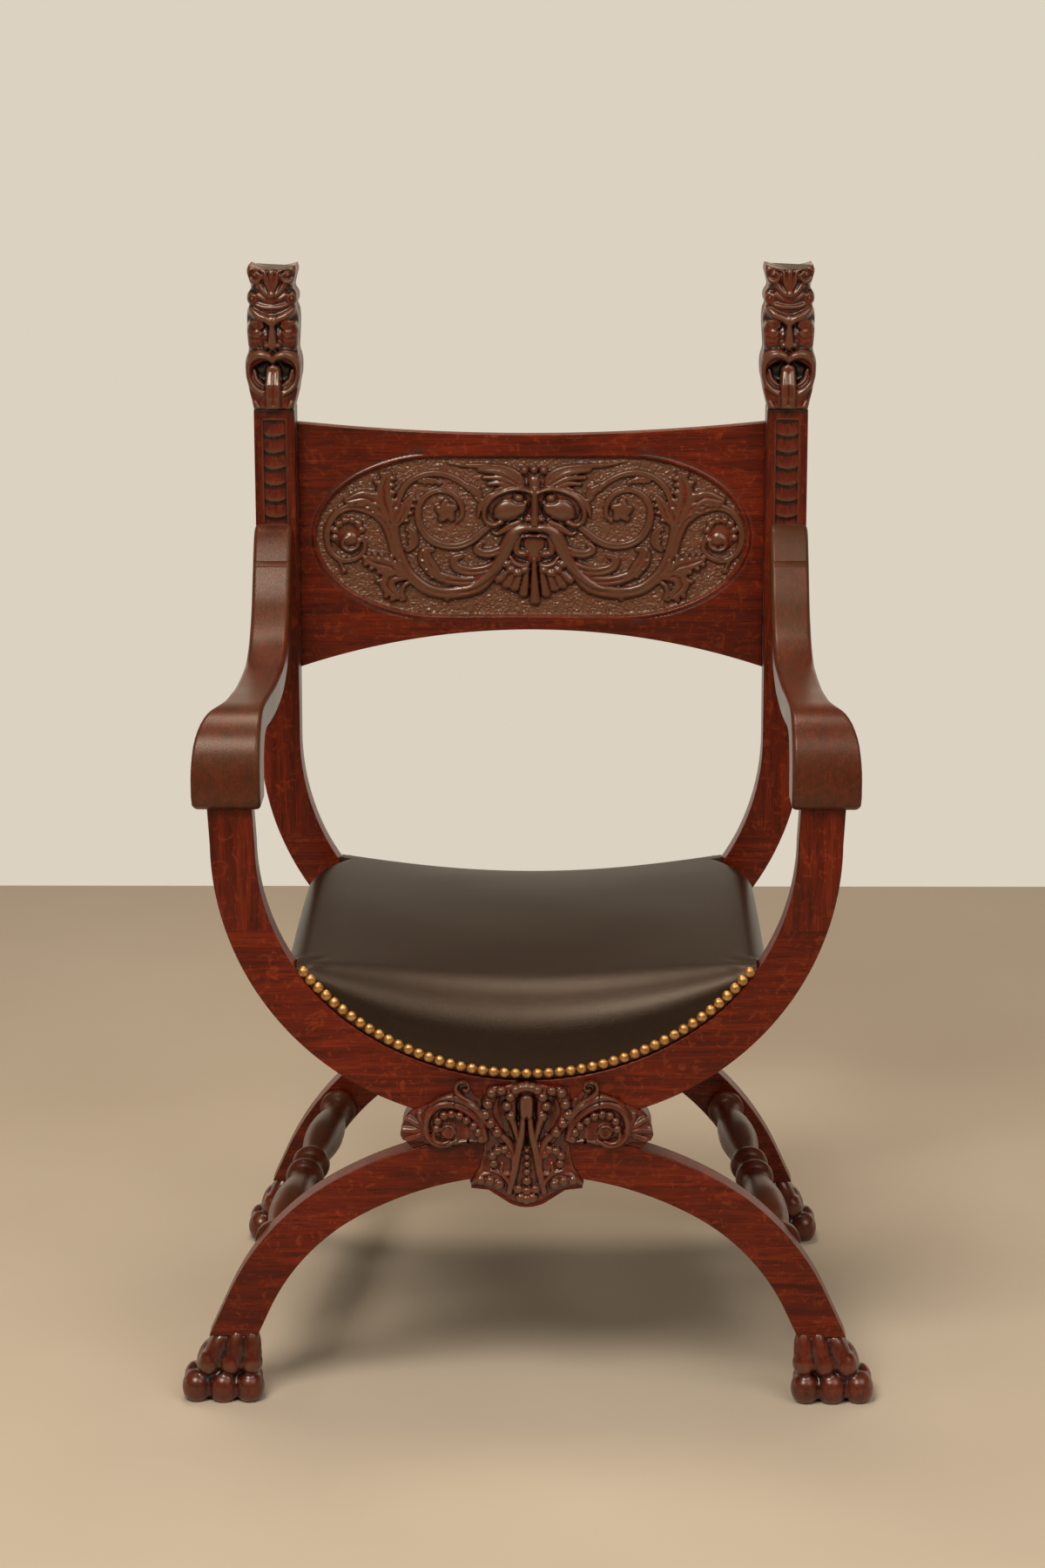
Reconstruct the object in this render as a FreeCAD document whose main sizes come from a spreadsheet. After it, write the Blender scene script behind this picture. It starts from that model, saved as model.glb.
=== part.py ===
import FreeCAD, Part
import math
import os
import Sketcher

# Carved armchair with two curved frames, front and rear, held apart by arms, seat rails
# and turned stretchers. X runs across, Y from the front to the back, Z up.
# The origin is the middle of the footprint, on the floor.

doc = FreeCAD.newDocument("carved_armchair")
sheet = doc.addObject("Spreadsheet::Sheet", "Sizes")

# Driving sizes in millimetres
SIZES = {
    # frames and boards
    "frame_spacing": 451,
    "board_thickness": 29,
    "post_depth": 43,
    "nose_overhang": 12,
    # front curved rail and uprights
    "front_half_width": 306,
    "front_rail_bottom": 290,
    "front_crown_slack": 60,
    "front_rail_depth": 47,
    "front_joint_drop": 85,
    "upright_flare": 2,
    "upright_top": 612,
    # rear curved rail and posts
    "rear_half_width": 294.5,
    "rear_rail_bottom": 284,
    "rear_crown_slack": 58.5,
    "rear_rail_depth": 46,
    "rear_joint_drop": 105,
    "post_shaft_top": 935,
    "post_taper_top": 640,
    # both curved rails; a slack is what a crown's radius has over its half width, and a joint
    # lies its drop below the spring height
    "spring_height": 575,
    "board_width": 43.5,
    "front_inner_slack": 27.5,
    "rear_inner_slack": 39,
    # leg arches
    "front_arch_top": 283,
    "front_arch_radius": 383,
    "front_shoulder_radius": 262,
    "rear_arch_top": 276,
    "rear_arch_radius": 310,
    "rear_shoulder_radius": 290,
    "leg_width": 44,
    "ankle_height": 68,
    # centre blocks and crest
    "block_half_width": 55,
    "block_drop": 34,
    "wing_half_width": 112,
    "wing_bulge": 11,
    "glue_gap": 0.2,
    "crest_thickness": 8,
    "crest_relief": 3,
    "crest_top": 333,
    "crest_bottom": 207,
    "crest_half_width": 122,
    # paws
    "paw_width": 80,
    "paw_depth": 53,
    "paw_lap": 3,
    "toe_height": 46,
    # masks
    "head_height": 152,
    "head_half_width": 29.3,
    "head_relief": 9,
    # back panel
    "panel_thickness": 13,
    "panel_inset": 28,
    "panel_top": 917,
    "panel_top_dip": 13,
    "panel_bottom": 650,
    "panel_bottom_rise": 41,
    "panel_gap": 0.4,
    "cartouche_half_width": 232,
    "cartouche_bottom": 705.5,
    "cartouche_height": 175,
    "cartouche_recess": 3,
    # arms
    "arm_top": 812,
    "arm_width": 40.5,
    "arm_flare": 28,
    "arm_setback": 4,
    "arm_block_height": 34,
    # stretchers
    "stretcher_height": 157,
    "stretcher_front_half": 254,
    "stretcher_rear_half": 214.5,
    "stretcher_radius": 20,
    "stretcher_neck_radius": 12,
    "tenon_radius": 9,
    "tenon_length": 16,
    # seat
    "seat_side_gap": 14,
    "seat_taper": 29,
    "seat_taper_start": 350,
    "seat_front_top": 455,
    "seat_front_middle": 422,
    "seat_side_top": 449,
    "seat_side_middle": 424,
    "seat_rear_top": 441,
    "seat_rear_middle": 429.5,
    "seat_board_thickness": 20,
    "seat_board_setback": 5,
    "seat_rail_bottom": 412,
    "seat_rail_width": 24,
    "seat_rail_depth": 25,
    "deck_thickness": 6,
    "dust_cover_thickness": 1.2,
    "leather_thickness": 2.2,
    "seat_clearance": 0.4,
    "soft_clearance": 0.3,
    # nails
    "nail_radius": 4.6,
    "nail_dome": 3,
    "nail_margin": 7,
    "front_nail_circle": 280,
    "rear_nail_circle": 258,
    # dowels and screws
    "dowel_radius": 4,
    "dowel_length": 40,
    "seat_dowel_radius": 3,
    "bore_clearance": 0.15,
    "crossing_dowel_length": 84,
    # reach of a cutting shape past a face, and the distance that counts as none
    "overrun": 5,
    "weld": 0.0001,
}


class Size:
    """A length with the sheet expression that gives it."""

    def __init__(self, value, text):
        self.value = float(value)
        self.text = text

    def __add__(self, other):
        other = as_size(other)
        return Size(self.value + other.value, "(%s + %s)" % (self.text, other.text))

    def __sub__(self, other):
        other = as_size(other)
        return Size(self.value - other.value, "(%s - %s)" % (self.text, other.text))

    def __mul__(self, other):
        other = as_size(other)
        return Size(self.value * other.value, "(%s * %s)" % (self.text, other.text))

    def __truediv__(self, other):
        other = as_size(other)
        return Size(self.value / other.value, "(%s / %s)" % (self.text, other.text))

    def __neg__(self):
        return self * -1

    __radd__ = __add__
    __rmul__ = __mul__


def as_size(number):
    """Wraps a plain share or count, so that it joins a sum or a product."""
    if isinstance(number, Size):
        return number
    return Size(number, "(%.9g)" % number)


def root(size):
    return Size(math.sqrt(size.value), "sqrt(%s)" % size.text)


class Names:
    """Every driving size as an attribute."""


def fill_sheet():
    names = Names()
    for row, (name, value) in enumerate(SIZES.items(), start=1):
        sheet.set("A%d" % row, name)
        sheet.set("B%d" % row, str(value))
        sheet.setAlias("B%d" % row, name)
        setattr(names, name, Size(value, "Sizes." + name))
    doc.recompute()
    return names


s = fill_sheet()
ZERO = as_size(0)
pieces = []

# Planes of the two frames
total_depth = s.frame_spacing + s.post_depth + s.nose_overhang
front_face = s.nose_overhang - total_depth / 2
rear_face = front_face + s.frame_spacing
front_back = front_face + s.board_thickness
rear_back = rear_face + s.board_thickness


def vector(x, y, z):
    return FreeCAD.Vector(x.value, y.value, z.value)


def origin_plane(body, role):
    return [part for part in body.Origin.OriginFeatures if part.Role == role][0]


def place(obj, x=ZERO, y=ZERO, z=ZERO):
    """Moves an object to a place that follows the sheet."""
    for axis, size in zip("xyz", (x, y, z)):
        obj.setExpression(".Placement.Base." + axis, size.text)


def flat(point):
    return FreeCAD.Vector(point[0].value, point[1].value, 0)


def same_point(one, other):
    return flat(one).isEqual(flat(other), s.weld.value)


def draw(body, name, plane, loops):
    """Draws closed loops of lines and arcs, with every corner tied to the sheet.

    A loop is a list whose first entry is the start point. Each later entry is the next point,
    or a pair of points, the middle and the end of an arc.
    """
    sketch = body.newObject("Sketcher::SketchObject", name)
    sketch.AttachmentSupport = [(origin_plane(body, plane), "")]
    sketch.MapMode = "FlatFace"
    rules = []
    texts = []

    def pin(geo, pos, point):
        for kind, size in zip(("DistanceX", "DistanceY"), point):
            rules.append(Sketcher.Constraint(kind, -1, 1, geo, pos, size.value))
            texts.append(size.text)

    for loop in loops:
        corner = loop[0]
        edges = []
        for entry in loop[1:] + [loop[0]]:
            if isinstance(entry[0], tuple):
                middle, end = entry
                geo = sketch.addGeometry(Part.Arc(flat(corner), flat(middle), flat(end)))
                first = sketch.getPoint(geo, 1)
                start = 1 if first.isEqual(flat(corner), s.weld.value) else 2
                edges.append((geo, start, 3 - start))
                helper = sketch.addGeometry(Part.Point(flat(middle)), True)
                pin(helper, 1, middle)
                rules.append(Sketcher.Constraint("PointOnObject", helper, 1, geo))
                texts.append(None)
            else:
                end = entry
                if same_point(corner, end):
                    continue
                geo = sketch.addGeometry(Part.LineSegment(flat(corner), flat(end)))
                edges.append((geo, 1, 2))
            pin(edges[-1][0], edges[-1][1], corner)
            corner = end
        for edge, following in zip(edges, edges[1:] + edges[:1]):
            rules.append(Sketcher.Constraint("Coincident", edge[0], edge[2], following[0], following[1]))
            texts.append(None)
    sketch.addConstraint(rules)
    for index, text in enumerate(texts):
        if text:
            sketch.setExpression("Constraints[%d]" % index, text)
    return sketch


def new_body(label):
    body = doc.addObject("PartDesign::Body", label)
    body.Label = label
    return body


def board(label, loops, thickness, front):
    """A board sawn to an outline seen from the front, with its face at the plane front."""
    body = new_body(label)
    sketch = draw(body, label + "_outline", "XZ_Plane", loops)
    pad = body.newObject("PartDesign::Pad", label + "_pad")
    pad.Profile = sketch
    pad.Reversed = True
    pad.setExpression("Length", thickness.text)
    place(body, y=front)
    return body


def cylinder(name, radius, length, axis, centre):
    """A round bar centred on a point, along X, Y or Z."""
    bar = doc.addObject("Part::Cylinder", name)
    bar.setExpression("Radius", radius.text)
    bar.setExpression("Height", length.text)
    turns = {
        "x": FreeCAD.Rotation(FreeCAD.Vector(0, 1, 0), 90),
        "y": FreeCAD.Rotation(FreeCAD.Vector(1, 0, 0), -90),
        "z": FreeCAD.Rotation(),
    }
    bar.Placement = FreeCAD.Placement(FreeCAD.Vector(), turns[axis])
    shift = dict(zip("xyz", centre))
    shift[axis] = shift[axis] - length / 2
    place(bar, **shift)
    return bar


def box(name, low, high):
    """A box between two corners."""
    solid = doc.addObject("Part::Box", name)
    for side, start, end in zip(("Length", "Width", "Height"), low, high):
        solid.setExpression(side, (end - start).text)
    place(solid, *low)
    return solid


def group(label, members):
    """Separate solids that share one node."""
    joined = doc.addObject("Part::Compound", label)
    joined.Label = label
    joined.Links = members
    return joined


def cut(label, base, tool):
    solid = doc.addObject("Part::Cut", label)
    solid.Label = label
    solid.Base = base
    solid.Tool = tool
    return solid


def keep(*objects):
    pieces.extend(objects)


class Pins:
    """Round fasteners of one kind, with the bores that take them."""

    def __init__(self, label, radius, clearance):
        self.label = label
        self.radius = radius
        self.clearance = clearance
        self.bars = []
        self.bores = []

    def add(self, axis, centre, length):
        number = len(self.bars)
        bar = cylinder("%s_%d" % (self.label, number), self.radius, length, axis, centre)
        bore = cylinder(
            "%s_bore_%d" % (self.label, number),
            self.radius + self.clearance,
            length + self.clearance * 2,
            axis,
            centre,
        )
        self.bars.append(bar)
        self.bores.append(bore)
        return number

    def finish(self):
        keep(group(self.label, self.bars))


class Arc3:
    """Half of a three-centred arch: a crown arc on the centre line and a side arc."""

    def __init__(self, half, spring, bottom, crown_radius):
        rise = spring - bottom
        self.half = half
        self.spring = spring
        self.bottom = bottom
        self.crown_radius = crown_radius
        self.radius = (crown_radius * rise * 2 - rise * rise - half * half) / ((crown_radius - half) * 2)
        self.centre_x = half - self.radius
        self.crown_centre = bottom + crown_radius
        reach = crown_radius / (crown_radius - self.radius)
        self.joint = (self.centre_x * reach, self.crown_centre - (self.crown_centre - spring) * reach)

    def side_point(self, height):
        """The point of the side arc at a height."""
        drop = self.spring - height
        return (self.centre_x + root(self.radius * self.radius - drop * drop), height)

    def side_at(self, across):
        """The point of the side arc at a distance from the centre line."""
        off = across - self.centre_x
        return (across, self.spring - root(self.radius * self.radius - off * off))


def mirrored(point, side):
    return (point[0] * side, point[1])


def curved_edge(half, bottom, slack):
    """An edge of a curved rail, its crown flatter than a circle on the same width."""
    return Arc3(half, s.spring_height, bottom, half + slack)


front_outer = curved_edge(s.front_half_width, s.front_rail_bottom, s.front_crown_slack)
front_inner = curved_edge(
    s.front_half_width - s.board_width, s.front_rail_bottom + s.front_rail_depth, s.front_inner_slack
)
rear_outer = curved_edge(s.rear_half_width, s.rear_rail_bottom, s.rear_crown_slack)
rear_inner = curved_edge(
    s.rear_half_width - s.board_width, s.rear_rail_bottom + s.rear_rail_depth, s.rear_inner_slack
)
front_joint_height = s.spring_height - s.front_joint_drop
rear_joint_height = s.spring_height - s.rear_joint_drop
# The arms stand outside the posts' inner faces, and the seat inside them
arm_inner = rear_inner.half + s.arm_setback
seat_half_width = rear_inner.half - s.seat_side_gap
seat_rear_half_width = seat_half_width - s.seat_taper


def half_way(one, other):
    return (one + other) / 2


def rail_outline(outer, inner, joint_height):
    """The curved seat rail, from one upright joint round to the other."""
    loop = [mirrored(outer.side_point(joint_height), -1)]
    for arch, sides in ((outer, (-1, 1)), (inner, (1, -1))):
        first, last = sides
        middle_height = half_way(joint_height, arch.joint[1])
        if arch is inner:
            loop.append(mirrored(arch.side_point(joint_height), first))
        loop.append((mirrored(arch.side_point(middle_height), first), mirrored(arch.joint, first)))
        loop.append(((ZERO, arch.bottom), mirrored(arch.joint, last)))
        end = arch.side_point(joint_height)
        loop.append((mirrored(arch.side_point(middle_height), last), mirrored(end, last)))
    return loop


def upright_outline(outer, inner, joint_height, top, flare, side):
    """A side upright, from its joint with the curved rail to its top."""
    middle_height = half_way(joint_height, outer.spring)
    loop = [
        outer.side_point(joint_height),
        (outer.side_point(middle_height), (outer.half, outer.spring)),
        (outer.half + flare, top),
        (inner.half + flare, top),
        (inner.half, inner.spring),
        (inner.side_point(middle_height), inner.side_point(joint_height)),
    ]
    return turned(loop, side)


def turned(loop, side):
    """The same outline on the left, side -1, or on the right, side 1."""
    result = []
    for entry in loop:
        if isinstance(entry[0], tuple):
            result.append(tuple(mirrored(point, side) for point in entry))
        else:
            result.append(mirrored(entry, side))
    return result


SIDES = (("left", -1), ("right", 1))

# Dowels of the wooden joints
joint_dowels = Pins("joint_dowels", s.dowel_radius, s.bore_clearance)
DOWEL_OFFSET_SHARE = 0.16


def upright_joint_dowels(outer, inner, joint_height, side, depth):
    """Two upright dowels across a joint between an upright and its rail."""
    middle = half_way(outer.side_point(joint_height)[0], inner.side_point(joint_height)[0])
    offset = s.board_width * DOWEL_OFFSET_SHARE
    numbers = []
    for step in (-1, 1):
        centre = ((middle + offset * step) * side, depth, joint_height)
        numbers.append(joint_dowels.add("z", centre, s.dowel_length))
    return numbers


front_middle = half_way(front_face, front_back)
rear_middle = half_way(rear_face, rear_back)

# Leg arches: a crown arc on the centre line, a shoulder arc and a straight shank
# Shares are the across and up parts of the radius that ends each arc
CROWN_SHARE = 0.4825
CROWN_RISE_SHARE = math.sqrt(1 - CROWN_SHARE ** 2)
SHANK_SHARE = 0.911
SHANK_RISE_SHARE = math.sqrt(1 - SHANK_SHARE ** 2)


class LegArch:
    """Outer edge of a leg arch, or its inner edge when an inset is given."""

    def __init__(self, top, radius, shoulder_radius, inset):
        self.centre = top - radius
        self.radius = radius - inset
        shoulder = shoulder_radius - inset
        gap = radius - shoulder_radius
        self.crown_end = (self.radius * CROWN_SHARE, self.centre + self.radius * CROWN_RISE_SHARE)
        hub = (gap * CROWN_SHARE, self.centre + gap * CROWN_RISE_SHARE)
        self.shank = (hub[0] + shoulder * SHANK_SHARE, hub[1] + shoulder * SHANK_RISE_SHARE)
        across = (CROWN_SHARE + SHANK_SHARE) / 2
        lift = (CROWN_RISE_SHARE + SHANK_RISE_SHARE) / 2
        span = (across ** 2 + lift ** 2) ** 0.5
        self.shoulder = (hub[0] + shoulder * (across / span), hub[1] + shoulder * (lift / span))

    def crown_point(self, across):
        return (across, self.centre + root(self.radius * self.radius - across * across))

    def shank_point(self, height):
        drop = self.shank[1] - height
        return (self.shank[0] + drop * (SHANK_RISE_SHARE / SHANK_SHARE), height)


def leg_outline(outer, inner, start, ankle, side):
    """A leg board, from the centre block to the ankle."""
    outer_start = outer.crown_point(start)
    inner_start = inner.crown_point(start)
    loop = [
        outer_start,
        (outer.crown_point(half_way(start, outer.crown_end[0])), outer.crown_end),
        (outer.shoulder, outer.shank),
        outer.shank_point(ankle),
        inner.shank_point(ankle),
        inner.shank,
        (inner.shoulder, inner.crown_end),
        (inner.crown_point(half_way(start, inner.crown_end[0])), inner_start),
    ]
    return turned(loop, side)


class Frame:
    """Sizes of one of the two curved frames."""

    def __init__(self, name, face, middle, outer, inner, arch_sizes):
        self.name = name
        self.face = face
        self.middle = middle
        self.outer = outer
        self.inner = inner
        self.arch_sizes = arch_sizes
        self.paw_bores = {}
        self.seat_bores = {}
        self.arm_bores = {}
        self.joint_numbers = {}
        self.arch_outer = LegArch(*arch_sizes, ZERO)
        self.arch_inner = LegArch(*arch_sizes, s.leg_width)


SEAT_DOWEL_EDGE_SHARE = 1.65


def seat_dowel_centre(frame, side):
    """Where a seat side rail is doweled to a frame."""
    if frame is front:
        across = seat_half_width - s.leather_thickness - s.seat_rail_width / 2
        return (across * side, front_back, s.seat_rail_bottom + s.seat_rail_depth / 2)
    edge = s.seat_dowel_radius * SEAT_DOWEL_EDGE_SHARE
    across = seat_rear_half_width - s.leather_thickness - s.soft_clearance - edge
    return (across * side, rear_face, s.seat_rail_bottom + edge)


front = Frame(
    "front",
    front_face,
    front_middle,
    front_outer,
    front_inner,
    (s.front_arch_top, s.front_arch_radius, s.front_shoulder_radius),
)
rear = Frame(
    "rear",
    rear_face,
    rear_middle,
    rear_outer,
    rear_inner,
    (s.rear_arch_top, s.rear_arch_radius, s.rear_shoulder_radius),
)



LEG_DOWEL_SHARE = 0.25
leg_dowels = Pins("leg_dowels", s.dowel_radius, s.bore_clearance)
crossing_dowels = Pins("crossing_dowels", s.dowel_radius, s.bore_clearance)
paw_dowels = Pins("paw_dowels", s.dowel_radius, s.bore_clearance)
arm_dowels = Pins("arm_dowels", s.dowel_radius, s.bore_clearance)
panel_dowels = Pins("panel_dowels", s.dowel_radius, s.bore_clearance)
seat_dowels = Pins("seat_rail_dowels", s.seat_dowel_radius, s.bore_clearance)


# Stretchers: a turned profile that is the same from both ends
STRETCHER_KNOT_SHARES = ((0.0, 0.85), (0.05, 0.85), (0.13, 0.0), (0.82, 0.2), (0.86, 0.5), (0.95, 0.5))
STRETCHER_BULGE_SHARES = (None, (0.075, 0.3), (0.5, 1.0), None, (0.905, 1.0))
REEL_SHARE = 0.2

stretcher_run = s.frame_spacing - s.board_thickness
stretcher_slip = s.stretcher_front_half - s.stretcher_rear_half
stretcher_length = root(stretcher_run * stretcher_run + stretcher_slip * stretcher_slip)
stretcher_lean = math.degrees(math.atan2(stretcher_slip.value, stretcher_run.value))


def stretcher_loop():
    """Outline of a stretcher beside its axis, from the front tenon to the rear one."""
    half = stretcher_length / 2
    shoulder = s.soft_clearance + s.stretcher_radius * stretcher_slip / stretcher_run

    def knot(share):
        radius = s.stretcher_neck_radius + (s.stretcher_radius - s.stretcher_neck_radius) * share[1]
        return (radius, shoulder + (half - shoulder) * share[0])

    def flipped(point):
        return (point[0], stretcher_length - point[1])

    knots = [knot(share) for share in STRETCHER_KNOT_SHARES]
    bulges = [share and knot(share) for share in STRETCHER_BULGE_SHARES]
    loop = [(ZERO, -s.tenon_length), (s.tenon_radius, -s.tenon_length), (s.tenon_radius, shoulder), knots[0]]
    for bulge, end in zip(bulges, knots[1:]):
        loop.append((bulge, end) if bulge else end)
    loop.append((knot((1, REEL_SHARE)), flipped(knots[-1])))
    for bulge, end in zip(reversed(bulges), reversed(knots[:-1])):
        loop.append((flipped(bulge), flipped(end)) if bulge else flipped(end))
    loop += [flipped((s.tenon_radius, shoulder)), flipped((s.tenon_radius, -s.tenon_length))]
    loop.append(flipped((ZERO, -s.tenon_length)))
    return loop


def along_stretcher(obj, side, share):
    """Lays an upright object along a stretcher's axis, with its foot at a share of the run."""
    lean = FreeCAD.Rotation(FreeCAD.Vector(0, 0, 1), side * stretcher_lean)
    lay = FreeCAD.Rotation(FreeCAD.Vector(1, 0, 0), -90)
    obj.Placement = FreeCAD.Placement(FreeCAD.Vector(), lean.multiply(lay))
    across = s.stretcher_front_half - stretcher_slip * share
    place(obj, across * side, front_back + stretcher_run * share, s.stretcher_height)


def stretcher(label, side):
    body = new_body(label)
    sketch = draw(body, label + "_profile", "XZ_Plane", [stretcher_loop()])
    turn = body.newObject("PartDesign::Revolution", label + "_turning")
    turn.Profile = sketch
    turn.ReferenceAxis = (sketch, ["V_Axis"])
    turn.Angle = 360
    along_stretcher(body, side, 0)
    return body


def tenon_bore(label, side):
    """The bore of both tenons of one stretcher, longer than each by the clearance."""
    bore = doc.addObject("Part::Cylinder", label + "_tenon_bore")
    bore.setExpression("Radius", (s.tenon_radius + s.bore_clearance).text)
    reach = s.tenon_length + s.bore_clearance
    bore.setExpression("Height", (stretcher_length + reach * 2).text)
    lean = math.radians(stretcher_lean)
    along_stretcher(bore, side, 0)
    back_share = (reach / stretcher_run) * math.cos(lean)
    across = s.stretcher_front_half + stretcher_slip * back_share
    place(bore, across * side, front_back - stretcher_run * back_share, s.stretcher_height)
    return bore


stretcher_bores = {}
for side_name, side in SIDES:
    piece = stretcher(side_name + "_stretcher", side)
    keep(piece)
    stretcher_bores[side] = tenon_bore(side_name + "_stretcher", side)

# Curved rails, uprights, legs and centre blocks of both frames
TAB_SHARES = ((1.0, 0.41), (0.69, 0.47), (0.31, 0.88), (0.0, 1.0))


def block_outline(frame):
    """Centre block: a tab between the legs and a wing over each leg, under the curved rail."""
    below = LegArch(*frame.arch_sizes, -s.glue_gap)
    above = Arc3(
        frame.outer.half + s.glue_gap,
        frame.outer.spring,
        frame.outer.bottom - s.glue_gap,
        frame.outer.crown_radius + s.glue_gap,
    )
    soffit = frame.arch_sizes[0] - s.leg_width
    tab = [(s.block_half_width * across, soffit - s.block_drop * drop) for across, drop in TAB_SHARES]
    start = below.crown_point(s.block_half_width)
    root_point = below.crown_point(s.wing_half_width)
    tip = above.side_at(s.wing_half_width)
    bulge = (s.wing_half_width + s.wing_bulge, half_way(root_point[1], tip[1]))
    right = [
        tab[0],
        start,
        (below.crown_point(half_way(s.block_half_width, s.wing_half_width)), root_point),
        (bulge, tip),
        (above.side_at(half_way(s.wing_half_width, above.joint[0])), above.joint),
    ]
    loop = right + [((ZERO, above.bottom), mirrored(above.joint, -1))]
    shoulder = above.side_at(half_way(s.wing_half_width, above.joint[0]))
    loop.append((mirrored(shoulder, -1), mirrored(tip, -1)))
    loop.append((mirrored(bulge, -1), mirrored(root_point, -1)))
    middle = below.crown_point(half_way(s.block_half_width, s.wing_half_width))
    loop.append((mirrored(middle, -1), mirrored(start, -1)))
    loop += [mirrored(tab[0], -1), mirrored(tab[1], -1), mirrored(tab[2], -1)]
    loop.append((tab[3], tab[2]))
    loop.append(tab[1])
    return loop


def bored(label, base, bores):
    """A piece with its bores, under its final name."""
    tool = doc.addObject("Part::Compound", label + "_bores")
    tool.Links = bores
    return cut(label, base, tool)


def crossing_dowel(frame, across):
    """A dowel from under a leg, through the block's wing, into the curved rail."""
    foot = frame.arch_inner.crown_point(across)[1]
    height = foot + s.overrun + s.crossing_dowel_length / 2
    return crossing_dowels.add("z", (across, frame.middle, height), s.crossing_dowel_length)


def leg_pieces(frame, side_name, side):
    """One leg with its bores; gives back the bores that its neighbours share."""
    label = "%s_%s_leg" % (frame.name, side_name)
    outer, inner = frame.arch_outer, frame.arch_inner
    outline = leg_outline(outer, inner, s.block_half_width, s.ankle_height, side)
    leg = board(label + "_board", [outline], s.board_thickness, frame.face)
    butt = half_way(outer.crown_point(s.block_half_width)[1], inner.crown_point(s.block_half_width)[1])
    block_bores = []
    for step in (-1, 1):
        height = butt + s.leg_width * (LEG_DOWEL_SHARE * step)
        number = leg_dowels.add("x", (s.block_half_width * side, frame.middle, height), s.dowel_length)
        block_bores.append(leg_dowels.bores[number])
    screw_across = half_way(s.block_half_width, s.wing_half_width) * side
    crossing = crossing_dowels.bores[crossing_dowel(frame, screw_across)]
    ankle = half_way(outer.shank_point(s.ankle_height)[0], inner.shank_point(s.ankle_height)[0])
    number = paw_dowels.add("z", (ankle * side, frame.middle, s.ankle_height), s.dowel_length)
    frame.paw_bores[side] = paw_dowels.bores[number]
    keep(bored(label, leg, block_bores + [crossing, stretcher_bores[side], frame.paw_bores[side]]))
    return block_bores, crossing


def frame_pieces(frame, joint_height):
    """The curved rail, its legs and the centre block of one frame."""
    name = frame.name
    rail_loop = rail_outline(frame.outer, frame.inner, joint_height)
    rail = board(name + "_rail_board", [rail_loop], s.board_thickness, frame.face)
    block = board(name + "_block_board", [block_outline(frame)], s.board_thickness, frame.face)
    rail_bores = []
    block_bores = []
    for side_name, side in SIDES:
        own, crossing = leg_pieces(frame, side_name, side)
        block_bores += own + [crossing]
        rail_bores.append(crossing)
        numbers = upright_joint_dowels(frame.outer, frame.inner, joint_height, side, frame.middle)
        frame.joint_numbers[side] = numbers
        rail_bores += [joint_dowels.bores[number] for number in numbers]
        number = seat_dowels.add("y", seat_dowel_centre(frame, side), s.dowel_length)
        frame.seat_bores[side] = seat_dowels.bores[number]
        rail_bores.append(seat_dowels.bores[number])
    keep(bored(name + "_seat_rail", rail, rail_bores))
    keep(bored(name + "_crossing_block", block, block_bores))


frame_pieces(front, front_joint_height)
frame_pieces(rear, rear_joint_height)

# Paws under the legs: a core with three round toes
TOE_COUNT = 3


def paw(frame, side_name, side):
    label = "%s_%s_paw" % (frame.name, side_name)
    inner_edge = frame.arch_inner.shank_point(s.ankle_height)[0] - s.paw_lap
    outer_edge = inner_edge + s.paw_width
    toe_radius = s.paw_width / (2 * TOE_COUNT)
    tip = frame.face - s.nose_overhang
    edges = sorted((inner_edge * side, outer_edge * side), key=lambda size: size.value)
    low = (edges[0], tip + toe_radius, ZERO)
    high = (edges[1], tip + s.paw_depth, s.ankle_height)
    members = [box(label + "_core", low, high)]
    for count in range(TOE_COUNT):
        across = edges[0] + toe_radius * (2 * count + 1)
        centre = (across, tip + toe_radius, s.toe_height / 2)
        members.append(cylinder("%s_toe_%d" % (label, count), toe_radius, s.toe_height, "z", centre))
        knuckle = doc.addObject("Part::Sphere", "%s_knuckle_%d" % (label, count))
        knuckle.setExpression("Radius", toe_radius.text)
        place(knuckle, across, tip + toe_radius, s.toe_height)
        members.append(knuckle)
    joined = doc.addObject("Part::MultiFuse", label + "_block")
    joined.Shapes = members
    keep(bored(label, joined, [frame.paw_bores[side]]))


for frame in (front, rear):
    for side_name, side in SIDES:
        paw(frame, side_name, side)

# Crest on the front of the crossing: a back layer and a raised layer
CREST_SHARES = (
    (0.14, 0.03), (0.32, 0.135), (0.45, 0.15), (0.9, 0.43), ((1.02, 0.62), (0.97, 0.82)),
    ((0.89, 0.96), (0.74, 0.94)), (0.49, 0.88), ((0.41, 1.0), (0.31, 0.96)), (0.0, 0.91),
)
CREST_RAISED_SHARE = 0.86


def crest_loop(shrink):
    """Outline of the crest; the raised layer keeps a share of it about the middle."""
    middle = half_way(s.crest_top, s.crest_bottom)
    rise = s.crest_top - s.crest_bottom

    def point(shares):
        across = s.crest_half_width * (shares[0] * shrink)
        return (across, middle + rise * ((shares[1] - 0.5) * shrink))

    right = []
    for entry in CREST_SHARES:
        right.append(tuple(point(pair) for pair in entry) if isinstance(entry[0], tuple) else point(entry))
    loop = list(right)
    ends = [entry[1] if isinstance(entry[0], tuple) else entry for entry in right]
    for index in range(len(right) - 1, 0, -1):
        target = mirrored(ends[index - 1], -1)
        if isinstance(right[index][0], tuple):
            loop.append((mirrored(right[index][0], -1), target))
        else:
            loop.append(target)
    return loop


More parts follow.
